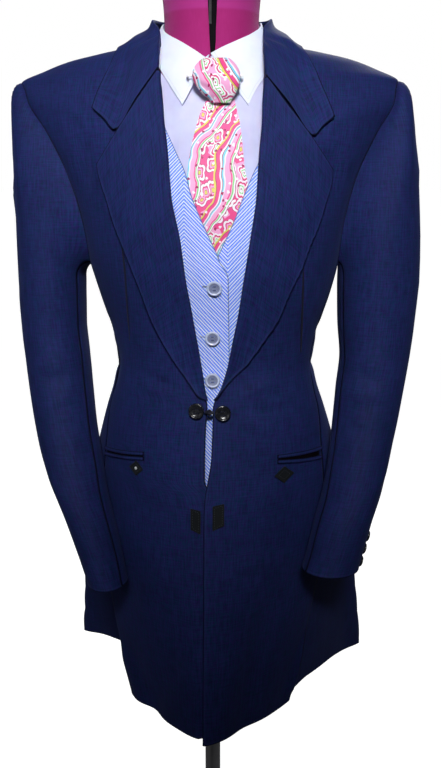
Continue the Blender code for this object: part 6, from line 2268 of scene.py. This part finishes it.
def closedLoft(name, rings, look, uvAt):
    # A closed solid through rings of points, with a fan over each end and its own cloth map.
    rows, count = rings.shape[:2]
    verts = rings.reshape(-1, 3).tolist()
    faces = []
    for i in range(rows - 1):
        for k in range(count):
            after = (k + 1) % count
            faces.append((i * count + k, i * count + after, (i + 1) * count + after, (i + 1) * count + k))
    for i in (0, rows - 1):
        middle = len(verts)
        verts.append(tuple(rings[i].mean(axis=0)))
        faces += [(i * count + k, i * count + (k + 1) % count, middle) for k in range(count)]
    mesh = bpy.data.meshes.new(name)
    mesh.from_pydata(verts, [], faces)
    layer = mesh.uv_layers.new(name="cloth")
    for polygon in mesh.polygons:
        for loop in polygon.loop_indices:
            layer.data[loop].uv = uvAt(Vector(verts[mesh.loops[loop].vertex_index]), polygon.center)
    piece = newPiece(name, mesh, look)
    select(piece)
    bpy.ops.object.mode_set(mode="EDIT")
    bpy.ops.mesh.select_all(action="SELECT")
    bpy.ops.mesh.normals_make_consistent(inside=False)
    bpy.ops.object.mode_set(mode="OBJECT")
    mesh.shade_smooth()
    return piece


def makeForm():
    heights = fineHeights([row[0] for row in formRows["rows"]], formRows["step"])
    insets = np.interp(heights, *zip(*formRows["rows"])).tolist()
    for step in formRows["topSteps"]:
        heights.append(formRows["rows"][-1][0] + formRows["topRound"] * step)
        insets.append(formRows["topInset"] * (1 - math.sqrt(1 - step ** 2)))
    rings = [[onRing(form["sections"], turn, height * mm, -inset * mm)
              for turn in spread(-180.0, 180.0, formRows["around"] + 1)[:-1]]
             for height, inset in zip(heights, insets)]

    def uvAt(spot, middle):
        turn = math.atan2(middle.x, -middle.y)
        own = math.atan2(spot.x, -spot.y)
        if own - turn > math.pi:
            own -= 2 * math.pi
        if turn - own > math.pi:
            own += 2 * math.pi
        return own * formRows["clothRadius"], spot.z

    ownPiece(closedLoft("formTorso", np.array(rings), looks["form"], uvAt), "form_cloth", "form_torso")
    # A near-black sheet along the neck's slot: painted shade in the gap between its halves.
    wall = formRows["slotWall"]
    grid = []
    for height in fineHeights([row[0] for row in formRows["slot"]], 5.0):
        halfWidth = np.interp(height, *zip(*formRows["slot"]))
        grid.append([formFrontPoint(formRows["slotX"] + halfWidth * w, height, wall + 0.4 * mm)
                     for w in spread(-1.0, 1.0, 9)])
    ownPiece(makeCloth("neckSlot", grid, looks["shadeInOpening"], wall, "turned " * 4), "black_trim", "form_neck_slot")
    grid = [[formFrontPoint(formRows["slotX"] + place, height, wall + (1.5 - abs(place + 2.6) * 0.5) * mm)
             for place in spread(-4.0, -1.2, 5)] for height in spread(*formRows["rodHeights"], 12)]
    ownPiece(makeCloth("neckSlotRod", grid, looks["slotRod"], formRows["rodWall"], "turned " * 4), "black_trim")


def makeStand():
    # Each profile is radius and height, over the piece's own base in mm where it is a list of steps.
    radius, height = stand["baseRadius"], stand["baseHeight"]
    base = [(radius - 2.0 * mm, 0.0), (radius, 2.0 * mm), (radius, height - 8.0 * mm),
            (radius - 3.0 * mm, height - 4.6 * mm), (radius - 12.0 * mm, height - 3.0 * mm),
            (0.06, height - 0.4 * mm), (0.03, height)]
    poleLow = height + stand["layGap"]
    socketLow = formRows["rows"][0][0] * mm - stand["socketHeight"]
    radius = stand["poleRadius"]
    pole = [(radius + out * mm, poleLow + up * mm) for out, up in stand["poleFoot"]] + [(radius, socketLow)]
    radius, flange = stand["socketRadius"], stand["socketRadius"] + 12.0 * mm
    top = formRows["rows"][0][0] * mm - stand["layGap"]
    socket = [(radius, socketLow + stand["layGap"]), (radius, top - 9.0 * mm), (flange, top - 5.0 * mm),
              (flange, top)]
    for name, profile, steps, rounding in (("base", base, 96, 0.0), ("pole", pole, 40, 0.6 * mm),
                                           ("socket", socket, 48, 0.8 * mm)):
        piece = turnUp(f"stand{name.capitalize()}", profile, steps, looks["standMetal"], rounding)
        ownPiece(piece, "stand_metal", f"stand_{name}")


# Dressing

makeStand()
makeForm()
print("form and stand")
shirtFronts = makeShirtFronts()
shirtLeaf, shirtBand = makeShirtCollar()
print("shirt")
tieBlade, tieKnot = makeTie()
makeCollarBar()
print("tie")
waistcoatPieces = makeWaistcoat()
print("waistcoat")
coatPieces, sleevePieces, lapelPieces, trimPieces = [], [], [], {}
for side in sides:
    coatPieces += makeCoatBody(side)
    sleevePieces += makeSleeve(side)
    lapelPieces.append(makeLapel(side))
    trimPieces[side] = makePocket(side) + makeDiamond(side) + makeEdgePatch(side) + makeDart(side)
    print("coat", side)
collarFall, collarStand = makeCoatCollar()
trimPieces["left"].append(makeSnap())
makeButtons()
makeButtonholes()
makeLink()
print("fastenings")

for piece in shirtFronts + [shirtBand]:
    declareSheet(piece)
declareSheet(shirtLeaf)
declareSheet(tieBlade, [tieKnot])
for piece in waistcoatPieces:
    declareSheet(piece)
for piece in coatPieces:
    part, side = piece.name.split("_")
    declareSheet(piece, trimPieces[side] if part == "coatFront" else [])
for piece in sleevePieces:
    declareSheet(piece)
for piece in lapelPieces:
    declareSheet(piece)
declareSheet(collarFall)
declareSheet(collarStand)

# Camera, floor and light

view = {
    "place": (0.0872, -1.2470, 1.25),
    "yaw": 3.47,
    "pitch": 12.0,
    "focalPixels": 980.0,
    "tallPixels": 768.0,
    "sensor": 36.0,
}

yaw, pitch = math.radians(view["yaw"]), math.radians(view["pitch"])
forward = Vector((-math.sin(yaw) * math.cos(pitch), math.cos(yaw) * math.cos(pitch), -math.sin(pitch)))
rightward = Vector((math.cos(yaw), math.sin(yaw), 0.0))
upward = rightward.cross(forward)
lens = bpy.data.cameras.new("camera")
lens.sensor_fit, lens.sensor_width = "AUTO", view["sensor"]
lens.lens = view["focalPixels"] / view["tallPixels"] * view["sensor"]
lens.clip_end = 300.0
camera = newPiece("camera", lens)
turn = Matrix((rightward, upward, -forward)).transposed().to_4x4()
camera.matrix_world = Matrix.Translation(Vector(view["place"])) @ turn
bpy.context.scene.camera = camera

lights = {
    "key": {"place": (0.15, -2.2, 2.75), "aim": (-0.02, 0.0, 1.37), "size": 0.9, "power": 3.3, "spread": 21.0},
    "fill": {"place": (-2.4, -1.9, 2.3), "aim": (0.0, 0.0, 1.3), "size": 1.6, "power": 2.8, "spread": 120.0},
    "back": {"place": (0.6, 2.6, 2.9), "aim": (0.0, 0.0, 1.25), "size": 1.8, "power": 24.0, "spread": 120.0},
}
for name, light in lights.items():
    lamp = bpy.data.lights.new(name, "AREA")
    lamp.size, lamp.energy, lamp.spread = light["size"], light["power"], math.radians(light["spread"])
    lampObject = newPiece(name, lamp)
    lampObject.location = light["place"]
    aim = Vector(light["aim"]) - Vector(light["place"])
    lampObject.rotation_euler = aim.to_track_quat("-Z", "Y").to_euler()

studio = {"ambient": 0.022, "backdrop": 1.0, "floorSize": 160.0, "floorGlow": 1.0, "floorTone": 0.35}


def seenOrNot(tree, unseen, seen):
    # One value for what the camera sees directly and another for the light that falls on things.
    path = tree.nodes.new("ShaderNodeLightPath")
    return remap(Wire(path.outputs["Is Camera Ray"]), 0.0, 1.0, unseen, seen)


world = bpy.data.worlds.new("studio")
bpy.context.scene.world = world
world.use_nodes = True
paper = world.node_tree.nodes["Background"]
paper.inputs["Color"].default_value = (1.0, 1.0, 1.0, 1.0)
feed(paper.inputs["Strength"], seenOrNot(world.node_tree, studio["ambient"], studio["backdrop"]))

floor = addPrimitive("plane", size=studio["floorSize"])
floor.name = "floor"
floorLook, floorTree = startLook("floorPaper", 0.9, specular=0.1)
floorShader = shaderOf(floorLook)
feed(floorShader.inputs["Base Color"], [studio["floorTone"]] * 3)
feed(floorShader.inputs["Emission Color"], (1.0, 1.0, 1.0))
feed(floorShader.inputs["Emission Strength"], seenOrNot(floorTree, 0.0, studio["floorGlow"]))
floor.data.materials.append(floorLook)

bpy.context.scene.view_settings.view_transform = "Standard"
bpy.context.scene.view_settings.look = "None"
